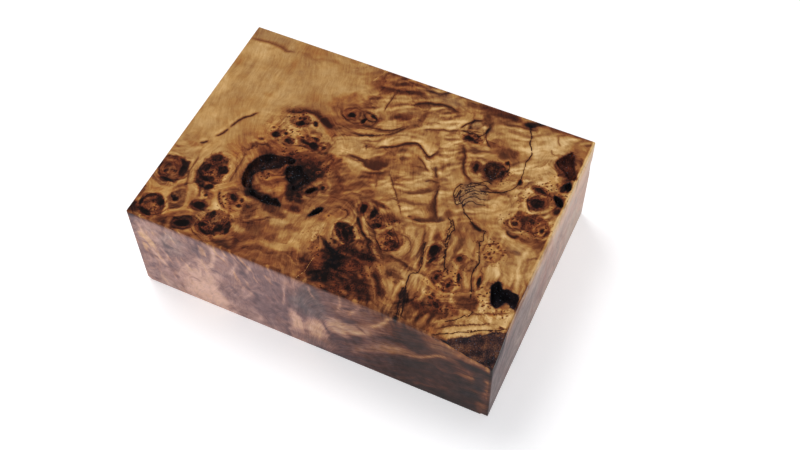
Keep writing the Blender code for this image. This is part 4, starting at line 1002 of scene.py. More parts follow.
def bark_edge(x, y):
    """Signed distance to the bark's wandering upper edge: negative on the bark."""
    share = corner_share(x, y, BARK)
    to_mm = 1.0 / math.hypot(1.0 / BARK[0], 1.0 / BARK[1])
    return -share * to_mm + BARK_RIM_WANDER * rough_noise(flat(x, y), 5.0, 3, 2.0)


def bark_drop(x, y):
    share = np.maximum(corner_share(x, y, BARK), 0.0)
    lumps = rough_noise(flat(x, y), 3.2, 4, 5.0)
    drop = BARK_STEP + BARK_DROP * share + BARK_BUMP * np.minimum(2.0 * share, 1.0) * (0.35 + 0.7 * lumps)
    return np.where(bark_edge(x, y) < 0.0, drop, 0.0)


def pit_distances(x, y):
    """Signed distance to the nearest pit's outline, negative inside, and that pit's number."""
    best = np.full(x.shape, FAR)
    which = np.zeros(x.shape, int)
    for number, (outline, *_) in enumerate(PITS):
        path = smooth_path(outline, closed=True)
        (x0, y0), (x1, y1) = path.min(axis=0) - MARGIN, path.max(axis=0) + MARGIN
        near = np.flatnonzero((x > x0) & (x < x1) & (y > y0) & (y < y1))
        distance = measure(x[near], y[near], path)[0]
        distance = np.where(inside_outline(x[near], y[near], path), -distance, distance)
        closer = distance < best[near]
        best[near[closer]] = distance[closer]
        which[near[closer]] = number
    return best, which


def pull_to_rim(x, y, distance_to_rim, reach):
    """Moves each point that lies nearer to a rim than the reach onto that rim."""
    nudge = 0.05
    for _ in range(3):
        distance = distance_to_rim(x, y)
        slope_x = (distance_to_rim(x + nudge, y) - distance) / nudge
        slope_y = (distance_to_rim(x, y + nudge) - distance) / nudge
        steep = np.maximum(slope_x**2 + slope_y**2, 0.3)
        near = np.abs(distance) < reach
        x = np.where(near, x - distance * slope_x / steep, x)
        y = np.where(near, y - distance * slope_y / steep, y)
    return x, y


def grid_lines(extent, step):
    """Lines across one side of the block: three for each rounded edge, and even ones between."""
    half = extent / 2
    inner = half - EDGE_RADIUS
    turn = half - 0.586 * EDGE_RADIUS
    between = np.linspace(-inner, inner, round(2 * inner / step) + 1)
    return np.concatenate([[-half, -turn], between, [turn, half]])


def side_levels():
    lines = grid_lines(HEIGHT, SIDE_STEP) + HEIGHT / 2
    return lines[::-1]


def ring_of(columns, rows):
    """Grid places round the rim, counter-clockwise seen from above, as (column, row)."""
    front = [(i, 0) for i in range(columns)]
    right = [(columns - 1, j) for j in range(1, rows)]
    back = [(i, rows - 1) for i in range(columns - 2, -1, -1)]
    left = [(0, j) for j in range(rows - 2, 0, -1)]
    return front + right + back + left


def zip_rings(outer, inner, outer_turn, inner_turn):
    """Triangles between two rings of vertices, each with its rising turn round the block."""
    triangles = []
    i = j = 0
    outer_turn = list(outer_turn) + [1.0 + outer_turn[0]]
    inner_turn = list(inner_turn) + [1.0 + inner_turn[0]]
    while i < len(outer) or j < len(inner):
        a, b = outer[i % len(outer)], inner[j % len(inner)]
        if j >= len(inner) or (i < len(outer) and outer_turn[i + 1] <= inner_turn[j + 1]):
            i += 1
            triangles.append((a, b, outer[i % len(outer)]))
        else:
            j += 1
            triangles.append((a, b, inner[j % len(inner)]))
    return triangles


def box_turn(x, y):
    """How far round the block a place on one of its rings lies, from the corner at -X -Y, from 0 to 1."""
    reach_x, reach_y = np.abs(x).max(), np.abs(y).max()
    u, v = x / reach_x, y / reach_y
    front = (u + 1) / 8
    right = 0.25 + (v + 1) / 8
    back = 0.5 + (1 - u) / 8
    left = 0.75 + (1 - v) / 8
    near = 1.0 - 1e-6
    return np.where(v <= -near, front, np.where(u >= near, right, np.where(v >= near, back, left)))


def block_lattice():
    """Vertices on the sharp box, the top's, sides' and underside's quads, and a strip of triangles below."""
    xs, ys, zs = grid_lines(LENGTH, TOP_STEP), grid_lines(WIDTH, TOP_STEP), side_levels()
    gx, gy = np.meshgrid(xs, ys, indexing="ij")
    top = np.stack([gx.ravel(), gy.ravel(), np.full(gx.size, HEIGHT)], axis=1)
    number = np.arange(gx.size).reshape(gx.shape)
    ring = [number[place] for place in ring_of(*gx.shape)]
    rim = top[ring]
    rings = [np.array(ring)]
    blocks = [top]
    made = len(top)
    for z in zs[1:]:
        blocks.append(np.column_stack([rim[:, :2], np.full(len(rim), z)]))
        rings.append(np.arange(made, made + len(rim)))
        made += len(rim)
    under_x = np.linspace(-1, 1, round(LENGTH / BOTTOM_STEP)) * (LENGTH / 2 - EDGE_RADIUS)
    under_y = np.linspace(-1, 1, round(WIDTH / BOTTOM_STEP)) * (WIDTH / 2 - EDGE_RADIUS)
    ux, uy = np.meshgrid(under_x, under_y, indexing="ij")
    blocks.append(np.stack([ux.ravel(), uy.ravel(), np.zeros(ux.size)], axis=1))
    under = np.arange(made, made + ux.size).reshape(ux.shape)
    under_ring = [under[place] for place in ring_of(*ux.shape)]
    vertices = np.vstack(blocks)
    inner = vertices[under_ring]
    strip = zip_rings(
        list(rings[-1]), under_ring, box_turn(rim[:, 0], rim[:, 1]), box_turn(inner[:, 0], inner[:, 1])
    )
    top_quads = np.stack([number[:-1, :-1], number[1:, :-1], number[1:, 1:], number[:-1, 1:]], axis=-1)
    under_quads = np.stack([under[:-1, :-1], under[:-1, 1:], under[1:, 1:], under[1:, :-1]], axis=-1)
    side_quads = []
    for upper, lower in zip(rings[:-1], rings[1:]):
        side_quads.append(np.stack([upper, lower, np.roll(lower, -1), np.roll(upper, -1)], axis=-1))
    return vertices, top_quads.reshape(-1, 4), np.vstack(side_quads), under_quads.reshape(-1, 4), strip


def round_off(points):
    """Points on the sharp box brought onto the box with rounded edges."""
    half = np.array((LENGTH, WIDTH, HEIGHT)) / 2
    middle = np.array((0.0, 0.0, HEIGHT / 2))
    core = np.clip(points - middle, EDGE_RADIUS - half, half - EDGE_RADIUS)
    out = points - middle - core
    return middle + core + EDGE_RADIUS * out / np.linalg.norm(out, axis=1, keepdims=True)


def bite(points, centre, half_sizes, seed):
    """Pushes the points inside one lumpy ball out to its surface, which leaves a chip."""
    away = (points - centre) / half_sizes
    far = np.linalg.norm(away, axis=1)
    lump = 1.0 + 0.3 * rough_noise(points, 1.5, 2, seed)
    inside = (far < lump) & (far > 0.05)
    shifted = centre + away * (lump / np.maximum(far, 0.05))[:, None] * half_sizes
    return np.where(inside[:, None], shifted, points), inside


def shape_block():
    """The lattice, its places on the finished surface, what each vertex is near or in, and the polygons."""
    lattice, top_quads, side_quads, under_quads, strip = block_lattice()
    on_top = lattice[:, 2] > HEIGHT - 1e-6
    margin = EDGE_RADIUS + 0.01
    inside = np.array((LENGTH, WIDTH)) / 2 - margin
    loose = on_top & (np.abs(lattice[:, :2]) < inside).all(axis=1)
    x, y = lattice[loose, 0], lattice[loose, 1]
    x, y = pull_to_rim(x, y, lambda u, v: pit_distances(u, v)[0], 0.5 * TOP_STEP)
    x, y = pull_to_rim(x, y, bark_edge, 0.5 * TOP_STEP)
    lattice[loose, 0], lattice[loose, 1] = x, y

    rim = np.full(len(lattice), FAR)
    pit = np.full(len(lattice), -1)
    distance, which = pit_distances(lattice[on_top, 0], lattice[on_top, 1])
    rim[on_top] = distance
    pit[on_top] = np.where(distance < 0.02, which, -1)

    places = round_off(lattice)
    x, y = lattice[:, 0], lattice[:, 1]
    height = wane_height(x, y) - bark_drop(x, y)
    places[:, 2] *= height / HEIGHT
    for number, (_, depth, lean, _, _) in enumerate(PITS):
        within = on_top & (pit == number) & (rim < -0.03)
        wall = smoothstep(0.0, lean, -rim[within])
        spots = flat(x[within], y[within])
        floor = depth + 0.4 * rough_noise(spots, 2.6, 3, number) + 0.18 * noise(spots, 0.9, number)
        places[within, 2] -= np.maximum(floor, 0.4 * depth) * (0.25 + 0.75 * wall)
    chipped = np.zeros(len(lattice), bool)
    for number, (centre, half_sizes) in enumerate(CHIPS):
        places, inside = bite(places, np.array(centre), np.array(half_sizes), number)
        chipped |= inside
    reach = np.array((LENGTH / 2, WIDTH / 2, HEIGHT))
    places = np.clip(places, reach * (-1.0, -1.0, 0.0), reach)
    bark = bark_edge(x, y)
    return lattice, places, rim, pit, bark, chipped, top_quads, side_quads, under_quads, strip


def split_quads(quads, edge):
    """Two triangles for each quad, cut along the diagonal that lies closer to a rim."""
    a, b, c, d = quads.T
    first = np.abs(edge[a]) + np.abs(edge[c]) <= np.abs(edge[b]) + np.abs(edge[d])
    one = np.where(first[:, None], np.stack([a, b, c], 1), np.stack([a, b, d], 1))
    two = np.where(first[:, None], np.stack([a, c, d], 1), np.stack([b, c, d], 1))
    return np.vstack([one, two])


# Painting the figure


class Canvas:
    """Paints tone and warmth onto the mesh's vertices, from shapes in one plane."""

    def __init__(self, across, up, active, tone, warmth, ragged):
        self.across, self.up, self.active = across, up, active
        self.tone, self.warmth, self.ragged = tone, warmth, ragged

    def near(self, x0, x1, y0, y1):
        within = (self.across > x0) & (self.across < x1) & (self.up > y0) & (self.up < y1)
        return np.flatnonzero(within & self.active)

    def blend(self, where, share, tone, warmth):
        self.tone[where] += share * (tone - self.tone[where])
        self.warmth[where] += share * (warmth - self.warmth[where])

    def ellipse(self, x, y, half_length, half_breadth, turn, reach):
        """Vertices near an ellipse, and how far out each is, with 1 on its edge."""
        span = max(half_length, half_breadth) * reach
        where = self.near(x - span, x + span, y - span, y + span)
        cos, sin = math.cos(math.radians(turn)), math.sin(math.radians(turn))
        dx, dy = self.across[where] - x, self.up[where] - y
        return where, np.hypot((dx * cos + dy * sin) / half_length, (dy * cos - dx * sin) / half_breadth)

    def stain(self, x, y, half_length, half_breadth, turn, tone, warmth, softness):
        where, out = self.ellipse(x, y, half_length, half_breadth, turn, 2.0)
        out = out + EDGE_WANDER * self.ragged[where]
        share = 1.0 - smoothstep(1.0 - softness, 1.0 + softness, out)
        self.blend(where, share, tone, warmth)

    def disc(self, x, y, half_length, half_breadth, turn, tone, warmth, dark_side, dark, collar):
        """A cut knot: shaded on one side, faintly layered, with a dark outline and a broken pale collar."""
        size = math.sqrt(half_length * half_breadth)
        where, out = self.ellipse(x, y, half_length, half_breadth, turn, 2.2)
        ragged = self.ragged[where]
        out = out + DISC_WANDER * ragged
        beyond = (out - 1.0) * size
        facing = np.arctan2(self.up[where] - y, self.across[where] - x) - math.radians(dark_side)
        shade = dark * smoothstep(-0.3, 1.0, np.cos(facing)) * smoothstep(0.2, 0.9, out)
        edge = 0.55 / size
        self.blend(where, 0.9 * (1.0 - smoothstep(1.0 - edge, 1.0 + edge, out)), tone - shade, warmth)
        layers = 0.05 * np.sin(4.0 * out * size + 5.0 * ragged)
        self.tone[where] += layers * (1.0 - smoothstep(0.8, 1.0, out))
        outline = np.exp(-((beyond / 0.35) ** 2))
        self.blend(where, 0.5 * outline, 0.26, 0.3)
        pale = np.exp(-(((beyond - 0.8) / 0.42) ** 2))
        broken = np.clip(0.55 + 1.2 * ragged, 0.0, 1.0)
        self.blend(where, 0.75 * collar * pale * broken, 0.78, 0.1)

    def fold(self, left, right, tone, warmth, strength, points):
        """A soft streak, for some folds their painted shade or painted pale highlight; the crisp
        painted-shade edge comes from the fold shade field.
        """
        path = smooth_path(points)
        reach = 2.5 * max(left, right)
        (x0, y0), (x1, y1) = path.min(axis=0) - reach, path.max(axis=0) + reach
        where = self.near(x0, x1, y0, y1)
        distance, side, along = measure(self.across[where], self.up[where], path)
        width = np.where(side > 0.0, left, right) * (1.0 + 0.4 * self.ragged[where])
        ends = 0.15 + 0.85 * smoothstep(0.0, END_FADE, along) * smoothstep(0.0, END_FADE, 1.0 - along)
        share = strength * ends * np.exp(-((distance / np.maximum(width, 0.1)) ** 1.6))
        self.blend(where, share, tone, warmth)


def fold_shade_field(folds, x, y):
    """For every vertex, the painted shade of its nearest fold: the way across it, from the crisp edge at 0 to
    the faded one at 1, the shade's strength, and its tone."""
    across = np.full(x.shape, 3.0)
    power = np.zeros(x.shape)
    depth = np.full(x.shape, 0.3)
    nearest = np.full(x.shape, 9.0)
    for left, right, tone, _, strength, points in folds:
        crispness = np.clip((strength - 0.68) * 6.0, 0.0, 1.0)
        path = smooth_path(points)
        (x0, y0), (x1, y1) = path.min(axis=0) - 4.0, path.max(axis=0) + 4.0
        near = np.flatnonzero((x > x0) & (x < x1) & (y > y0) & (y < y1))
        distance, side, along = measure(x[near], y[near], path)
        wide = side > 0.0 if left >= right else side < 0.0
        measured = np.where(wide, distance / (1.6 * max(left, right)), -distance)
        closer = distance < nearest[near]
        chosen = near[closer]
        nearest[chosen] = distance[closer]
        across[chosen] = measured[closer]
        ends = smoothstep(0.0, END_FADE, along) * smoothstep(0.0, END_FADE, 1.0 - along)
        power[chosen] = (crispness * ends * (1.0 - smoothstep(2.5, 4.0, distance)))[closer]
        depth[chosen] = tone - 0.08
    return across, power, depth


def sink(lattice):
    """Where each point reads the top's figure: straight above it near the top, further off lower down."""
    below = HEIGHT - lattice[:, 2]
    spread = 1.0 - below[:, None] * np.array(SPREAD)
    away = smoothstep(0.0, DRIFT_DEPTH, below) * DRIFT
    bent = np.stack([rough_noise(lattice, DRIFT_SIZE, 2, seed) for seed in (20.0, 40.0)], axis=1)
    fine = np.stack([rough_noise(lattice, SWAY_SIZE, 2, seed) for seed in (60.0, 80.0)], axis=1)
    return lattice[:, :2] * spread + bent * away[:, None] + SWAY * fine


def flow_round_groups(x, y, solid):
    """Grain that flows round the eyes, as water round stones: a place across it and a place along it."""
    way_x, way_y = GRAIN_WAY
    across = way_x * x + way_y * y + 2.2 * rough_noise(solid, size=22.0, octaves=2, seed=51.0)
    along = way_x * y - way_y * x
    stones = [(gx, gy, 0.62 * reach) for gx, gy, reach, _ in GROUPS]
    stones += [(ex, ey, 1.3 * math.sqrt(rx * ry)) for ex, ey, rx, ry, *_ in EYES + DISCS]
    for sx, sy, size in stones:
        dx, dy = x - sx, y - sy
        across -= size**2 * (way_x * dx + way_y * dy) / (dx * dx + dy * dy + 0.45 * size**2)
    return across, along


def ring_height(x, y, solid):
    """A height whose whole numbers are the growth rings' edges: they crowd round every group and eye."""
    height = 0.10 * y - 0.035 * x + 1.5 * rough_noise(solid, size=19.0, octaves=2, seed=50.0)
    hills = [(gx, gy, 0.75 * reach, rise) for gx, gy, reach, rise in GROUPS]
    hills += [(ex, ey, 1.5 * math.sqrt(rx * ry), 0.7) for ex, ey, rx, ry, *_ in DISCS]
    for hx, hy, reach, rise in hills:
        height += rise * np.exp(-((np.hypot(x - hx, y - hy) / reach) ** 1.3))
    return height


class Skin:
    """The block's vertices, each with where it reads the figure and what is painted on it so far."""

    def __init__(self, lattice, rim, pit, bark, chipped):
        self.lattice, self.rim, self.pit, self.bark, self.chipped = lattice, rim, pit, bark, chipped
        seat = sink(lattice)
        count = len(lattice)
        self.x, self.y = seat[:, 0], seat[:, 1]
        self.solid = np.column_stack([seat, 0.35 * lattice[:, 2]])
        self.ragged = rough_noise(self.solid, size=2.4, octaves=3, seed=7.0)
        self.tone = np.full(count, 0.6)
        self.warmth = np.full(count, 0.1)
        self.wild = np.full(count, 0.5)
        self.everywhere = np.ones(count, bool)
        self.below = HEIGHT - lattice[:, 2]
        self.on_top = lattice[:, 2] > HEIGHT - 0.5
        self.front = lattice[:, 1] < -WIDTH / 2 + FACE
        self.right = lattice[:, 0] > LENGTH / 2 - FACE

    def canvas(self, extra_rag=0.0):
        """A canvas for tone and warmth over the whole block, in the top's plane."""
        ragged = self.ragged + extra_rag
        return Canvas(self.x, self.y, self.everywhere, self.tone, self.warmth, ragged)

    def canvas_for(self, values):
        """The same for one other value."""
        return Canvas(self.x, self.y, self.everywhere, values, np.zeros(len(values)), self.ragged)


def paint_figure(skin):
    """The top's figure: broad stains, painted light and shade of curly folds, then finer stains, streaks
    (some a fold's painted shade or highlight), knots and eyes.
    """
    disturbance = skin.canvas_for(skin.wild)
    for x, y, half_length, half_breadth, turn, amount, softness in DISTURBED:
        disturbance.stain(x, y, half_length, half_breadth, turn, amount, 0.0, softness)
    loose = skin.canvas(extra_rag=1.2 * rough_noise(skin.solid, size=9.0, octaves=3, seed=8.0))
    for shape in BROAD_STAINS:
        loose.stain(*shape)
    # Painted light and shade of the curly folds, added to the tone
    skin.tone += quilt_light_and_shade(skin.x, skin.y, skin.solid, skin.wild)
    canvas = skin.canvas()
    for shape in STAINS:
        canvas.stain(*shape)
    for shape in FOLDS:
        canvas.fold(*shape)
    for shape in DISCS:
        canvas.disc(*shape)
    return paint_eyes(canvas)


def stain_round_pits(skin):
    beside = np.where(skin.on_top & (skin.rim > 0.0), np.exp(-np.maximum(skin.rim, 0.0) / PIT_STAIN), 0.0)
    broken = np.clip(0.6 + 1.1 * skin.ragged, 0.0, 1.0)
    skin.canvas().blend(skin.everywhere, 0.85 * beside * broken, tone=0.18, warmth=0.2)


def paint_right_face(skin):
    """The sawn end at the right: calm, paler towards the back, and dark under the bark."""
    _, y, z = skin.lattice.T
    lower_down = smoothstep(1.0, 9.0, skin.below)
    skin.tone += np.where(skin.right, 0.85 * lower_down * (0.55 - skin.tone), 0.0)
    skin.wild *= np.where(skin.right, 1.0 - 0.6 * lower_down, 1.0)
    brighter = 0.46 * smoothstep(-44.0, 40.0, y) - 0.18
    brighter = brighter + 0.30 * smoothstep(24.0, 37.0, z) * smoothstep(-26.0, 0.0, y)
    skin.tone += np.where(skin.right, brighter, 0.0)
    skin.warmth -= np.where(skin.right, 0.9 * lower_down, 0.0)
    under_bark = (1.0 - smoothstep(-1.5, 1.5, skin.bark)) * (1.0 - smoothstep(5.0, 10.0, skin.below))
    skin.canvas().blend(skin.everywhere, np.where(skin.right, under_bark, 0.0), tone=0.16, warmth=-0.2)


def paint_front(skin, streaks):
    """The front's own stains and folds, then its pale streaks, and dark hollows at the left."""
    x, y, z = skin.lattice.T
    slanted = np.column_stack([x - 1.9 * z, 0.25 * z, y])
    ragged = 0.6 * rough_noise(slanted, size=4.5, octaves=2, seed=15.0)
    bend_x = 0.7 * noise(skin.lattice, size=9.0, seed=16.0)
    bend_z = 0.7 * noise(skin.lattice, size=9.0, seed=17.0)
    face = Canvas(x + bend_x, z + bend_z, skin.front, skin.tone, skin.warmth, ragged)
    for shape in FRONT_STAINS:
        face.stain(*shape)
    for shape in FRONT_FOLDS:
        face.fold(*shape)
    skin.tone += STREAK_LIGHT * streaks
    hollows = smoothstep(0.1, 0.8, rough_noise(skin.lattice, size=3.6, octaves=3, seed=73.0))
    hollows = hollows * (1.0 - smoothstep(-10.0, 10.0, x))
    skin.tone -= np.where(skin.front, HOLLOW_DARK * hollows, 0.0)


def paint_raw_places(skin):
    """Pit floors and bark, which no saw reached. Says which vertices are raw, chips among them."""
    floor = skin.pit >= 0
    which = skin.pit[floor]
    tones = np.array([floor_tone for *_, floor_tone, _ in PITS])
    warmths = np.array([floor_warmth for *_, floor_warmth in PITS])
    crumbs = rough_noise(skin.solid, size=1.3, octaves=2, seed=9.0)[floor]
    skin.tone[floor] = tones[which] + 0.05 * skin.ragged[floor] + 0.07 * np.maximum(crumbs, -0.2)
    skin.warmth[floor] = warmths[which]

    barked = skin.on_top & (skin.bark < 0.02)
    x, y, _ = skin.lattice.T
    across, along = 0.855 * y - 0.52 * x, 0.855 * x + 0.52 * y
    bark_place = np.column_stack([across, 0.14 * along, np.zeros_like(x)])
    streaks = rough_noise(bark_place, size=1.4, octaves=2, seed=3.0)
    skin.tone[barked] = (BARK_TONE + 0.08 * skin.ragged + 0.13 * streaks)[barked]
    skin.warmth[barked] = -0.8
    return np.where(floor | barked | skin.chipped, 1.0, 0.0)


def crowding(skin):
    """Where little specks crowd, from 0 to 1: only in the top's skin."""
    busy = np.zeros(len(skin.x))
    crowd = skin.canvas_for(busy)
    for x, y, half_length, half_breadth, *_ in SWARMS:
        crowd.stain(x, y, 1.3 * half_length, 1.3 * half_breadth, 0, 1.0, 0.0, 0.6)
    return busy * (1.0 - smoothstep(0.4, 1.2, skin.below))


def paint(lattice, rim, pit, bark, chipped):
    """Every figure attribute of the block's vertices."""
    skin = Skin(lattice, rim, pit, bark, chipped)
    eye_edge = paint_figure(skin)
    stain_round_pits(skin)
    skin.wild *= 1.0 - 0.7 * smoothstep(0.3, 2.0, skin.below)
    paint_right_face(skin)
    streaks = front_streaks(lattice)
    paint_front(skin, streaks)
    raw = paint_raw_places(skin)

    flow, along = flow_round_groups(skin.x, skin.y, skin.solid)
    flow += 1.9 * skin.below * (smoothstep(-8.0, 14.0, lattice[:, 0]) * skin.front)
    # Each fold's painted shade and painted pale highlight: where they lie, how strong, how dark
    fold, fold_shade_power, fold_shade_tone = fold_shade_field(FOLDS, skin.x, skin.y)
    fold_shade_power = fold_shade_power * (1.0 - smoothstep(1.0, 5.0, skin.below))
    line, line_gap = line_distance(ZONE_LINES, skin.x, skin.y)
    pale, pale_gap = line_distance(PALE_LINES, skin.x, skin.y)
    out_of_sight = 4.0 * smoothstep(1.0, 4.0, skin.below)
    return {
        "tone": np.clip(skin.tone, 0.03, 1.1),
        # The sides' pale haze: part left by sanding, part painted reflection
        "dust_and_sheen": sanding_haze_and_sheen(lattice, streaks),
        "warmth": np.clip(skin.warmth, -1.0, 1.0),
        "wild": skin.wild,
        "fold": fold,
        "fold_shade_power": np.where(skin.front, 0.0, fold_shade_power),
        "fold_shade_tone": fold_shade_tone,
        "ring": ring_height(skin.x, skin.y, skin.solid),
        "eye_edge": eye_edge + np.where(skin.front | skin.right, out_of_sight, 0.0),
        "line": line,
        "line_gap": line_gap + np.where(skin.front, out_of_sight, 0.0),
        "pale": pale,
        "pale_gap": np.where(skin.on_top, pale_gap, FAR),
        "raw": raw,
        "busy": crowding(skin),
        "grain": np.column_stack([flow, along, lattice[:, 2]]),
    }


def front_streaks(lattice):
    """Short pale streaks that hang from the front's upper edge at the left, from 0 to 1."""
    x, y, z = lattice.T
    across = x + 0.3 * z + 2.0 * noise(lattice, size=7.0, seed=74.0)
    hanging = np.column_stack([across, 0.3 * z, np.zeros_like(x)])
    drawn = rough_noise(hanging, size=2.3, octaves=3, seed=72.0)
    upper = smoothstep(16.0, 30.0, z) * (1.0 - smoothstep(-16.0, 0.0, x))
    at_corner = 0.5 * (1.0 - smoothstep(-50.0, -34.0, x))
    streaks = smoothstep(0.3, 0.75, drawn) * np.minimum(upper + at_corner, 1.0)
    return np.where(y < FACE - WIDTH / 2, streaks, 0.0)


def sanding_haze_and_sheen(lattice, streaks):
    """How much pale haze lies on the sides, part left by sanding and part painted reflection: none on the
    top, most at the front's left end.
    """
    x, y, z = lattice.T
    front = 0.05 + 0.60 * (1.0 - smoothstep(-20.0, 38.0, x + 5.0 * noise(lattice, size=14.0, seed=70.0)))
    front *= 1.0 - 0.45 * streaks
    right = (0.66 + 0.06 * noise(lattice, size=9.0, seed=71.0)) * smoothstep(0.5, 8.0, HEIGHT - z)
    on_front, on_right = y < FACE - WIDTH / 2, x > LENGTH / 2 - FACE
    amount = np.where(on_front, front, np.where(on_right, right, 0.28))
    return amount * smoothstep(0.3, 2.5, HEIGHT - z)


def painted_flank_shading(places, towards, seed):
    """Painted light and shade on the flanks of soft folds: their slope towards the light, creased where two
    meet.
    """

    def height(spots):
        ridges = np.abs(rough_noise(spots, size=1.0, octaves=2, seed=seed))
        return ridges + 0.6 * noise(spots, size=1.6, seed=seed + 1.0)

    return height(places + towards) - height(places - towards)


def quilt_light_and_shade(x, y, solid, wild):
    """Painted light and shade of the curly figure, across the grain: slanting in the middle, upright at the
    lower right.
    """
    sway = 2.5 * noise(solid, size=14.0, seed=34.0)
    depth = 0.05 * solid[:, 2]
    across, along = 0.89 * y - 0.45 * x + sway, 0.89 * x + 0.45 * y
    slanting = painted_flank_shading(np.column_stack([along / 9.0, across / 3.4, depth]), towards=(0, 0.13, 0), seed=30.0)
    across, along = x + 0.16 * y + sway, y - 0.16 * x
    upright = painted_flank_shading(np.column_stack([across / 2.6, along / 12.0, depth]), towards=(0.14, 0, 0), seed=31.0)
    mottle = rough_noise(solid, size=2.6, octaves=3, seed=32.0)
    middle = smoothstep(-20.0, -2.0, x) * smoothstep(-20.0, -6.0, y)
    lower_right = smoothstep(20.0, 28.0, x) * (1.0 - smoothstep(-12.0, 4.0, y))
    slant_share = middle * (1.0 - lower_right) + 0.25 * (1.0 - middle) * (1.0 - lower_right)
    calm = 1.0 - 0.75 * smoothstep(0.0, 1.0, np.clip(0.5 - wild, 0.0, 0.5) * 2.0)
    folds = 0.40 * slant_share * slanting + 0.34 * lower_right * upright
    return calm * (folds + 0.4 * np.maximum(folds, 0.0)) + 0.06 * wild * mottle


def paint_eyes(canvas):
    """Halos and soft cores, and each vertex's distance to the nearest core's edge, negative inside."""
    edge = np.full(len(canvas.tone), 4.0)
    for x, y, half_length, half_breadth, turn, core, halo, collar in EYES:
        size = math.sqrt(half_length * half_breadth)
        where, out = canvas.ellipse(x, y, half_length, half_breadth, turn, 4.0 + 2.0 * halo)
        out = out + 0.2 * canvas.ragged[where]
        wide = 1.0 + 1.1 * halo
        canvas.blend(where, 0.7 * (1.0 - smoothstep(0.9, wide + 0.2, out)), 0.33, 0.7)
        canvas.blend(where, 1.0 - smoothstep(0.75, 1.25, out), core, 0.1)
        pale = np.exp(-(((out - wide - 0.2) * size / 0.45) ** 2))
        canvas.blend(where, collar * pale, 0.74, 0.2)
        edge[where] = np.minimum(edge[where], (out - 0.9) * size)
    draw = np.random.default_rng(5)
    for x, y, half_length, half_breadth, count, largest in SWARMS:
        for _ in range(count):
            away, turn = math.sqrt(draw.random()), draw.random() * 2 * math.pi
            sx = x + half_length * away * math.cos(turn)
            sy = y + half_breadth * away * math.sin(turn)
            size = largest * (0.45 + 0.55 * draw.random())
            canvas.stain(sx, sy, size, size * (0.6 + 0.9 * draw.random()), 0, 0.2, 0.5, 0.5)
    return edge


def line_distance(lines, x, y):
    """Signed distance to the nearest line less its half width, and the plain distance, for every vertex."""
    signed = np.full(x.shape, 4.0)
    gap = np.full(x.shape, 4.0)
    for half_width, points in lines:
        path = smooth_path(points, steps=4)
        (x0, y0), (x1, y1) = path.min(axis=0) - MARGIN, path.max(axis=0) + MARGIN
        near = np.flatnonzero((x > x0) & (x < x1) & (y > y0) & (y < y1))
        distance, side, _ = measure(x[near], y[near], path)
        scaled = distance * 0.15 / half_width
        closer = scaled < gap[near]
        gap[near[closer]] = scaled[closer]
        signed[near[closer]] = (side * scaled)[closer]
    return signed, gap


# The piece


def texture_layout(lattice, polygons, kinds):
    """A texture place for each polygon corner: the top has most of the square, the other faces the rest."""
    gap = 0.01
    wide = 1.0 - 2 * gap
    top_scale = wide / LENGTH
    low_band = 1.0 - gap - top_scale * WIDTH
    side_scale = (low_band - 3 * gap) / 2 / HEIGHT
    x, y, z = (lattice + np.array((LENGTH / 2, WIDTH / 2, 0.0))).T
    room = wide - side_scale * (LENGTH + WIDTH) - 3 * gap
    under_scale = min(room / WIDTH, (low_band - 2 * gap) / LENGTH)
    left_x = 2 * gap + side_scale * LENGTH
    under_x = left_x + gap + side_scale * WIDTH
    upper_y = 2 * gap + side_scale * HEIGHT
    charts = {
        "top": (gap + top_scale * x, low_band + gap / 2 + top_scale * y),
        "front": (gap + side_scale * x, gap + side_scale * z),
        "back": (gap + side_scale * (LENGTH - x), upper_y + side_scale * z),
        "right": (left_x + side_scale * y, gap + side_scale * z),
        "left": (left_x + side_scale * (WIDTH - y), upper_y + side_scale * z),
        "under": (under_x + under_scale * y, gap + under_scale * x),
    }
    placed = {kind: np.stack(chart, axis=1) for kind, chart in charts.items()}
    return np.vstack([placed[kind][list(polygon)] for polygon, kind in zip(polygons, kinds)])


def side_kind(lattice, quad):
    """Which upright face a side quad lies on."""
    x, y = lattice[list(quad), 0].mean(), lattice[list(quad), 1].mean()
    if abs(x) / LENGTH > abs(y) / WIDTH:
        return "right" if x > 0 else "left"
    return "back" if y > 0 else "front"


def make_block():
    lattice, places, rim, pit, bark, chipped, top_quads, side_quads, under_quads, strip = shape_block()
    edge = np.minimum(np.abs(rim), np.abs(bark))
    top = split_quads(top_quads, edge)
    polygons = [tuple(p) for p in top.tolist()]
    kinds = ["top"] * len(polygons)
    for quad in side_quads.tolist():
        polygons.append(tuple(quad))
        kinds.append(side_kind(lattice, quad))
    for polygon in under_quads.tolist() + [list(t) for t in strip]:
        polygons.append(tuple(polygon))
        kinds.append("under")
    mesh = bpy.data.meshes.new("figured_burl")
    mesh.from_pydata((places * MM).tolist(), [], polygons)
    layer = mesh.uv_layers.new(name="OFBake")
    layer.data.foreach_set("uv", texture_layout(lattice, polygons, kinds).astype(np.float32).ravel())
    for name, values in paint(lattice, rim, pit, bark, chipped).items():
        if values.ndim == 2:
            attribute = mesh.attributes.new(name, "FLOAT_VECTOR", "POINT")
            attribute.data.foreach_set("vector", values.astype(np.float32).ravel())
        else:
            attribute = mesh.attributes.new(name, "FLOAT", "POINT")
            attribute.data.foreach_set("value", values.astype(np.float32))
    mesh.shade_smooth()
    mesh.set_sharp_from_angle(angle=math.radians(38.0))
    mesh.materials.append(burl_material())
    block = bpy.data.objects.new("figured_burl_block", mesh)
    bpy.context.scene.collection.objects.link(block)
    return block


# Materials


def to_linear(colour):
    """A colour as a screen shows it, as the light it stands for."""
    return tuple(c / 12.92 if c <= 0.04045 else ((c + 0.055) / 1.055) ** 2.4 for c in colour)


def opaque(colour):
    return (*to_linear(colour), 1.0)


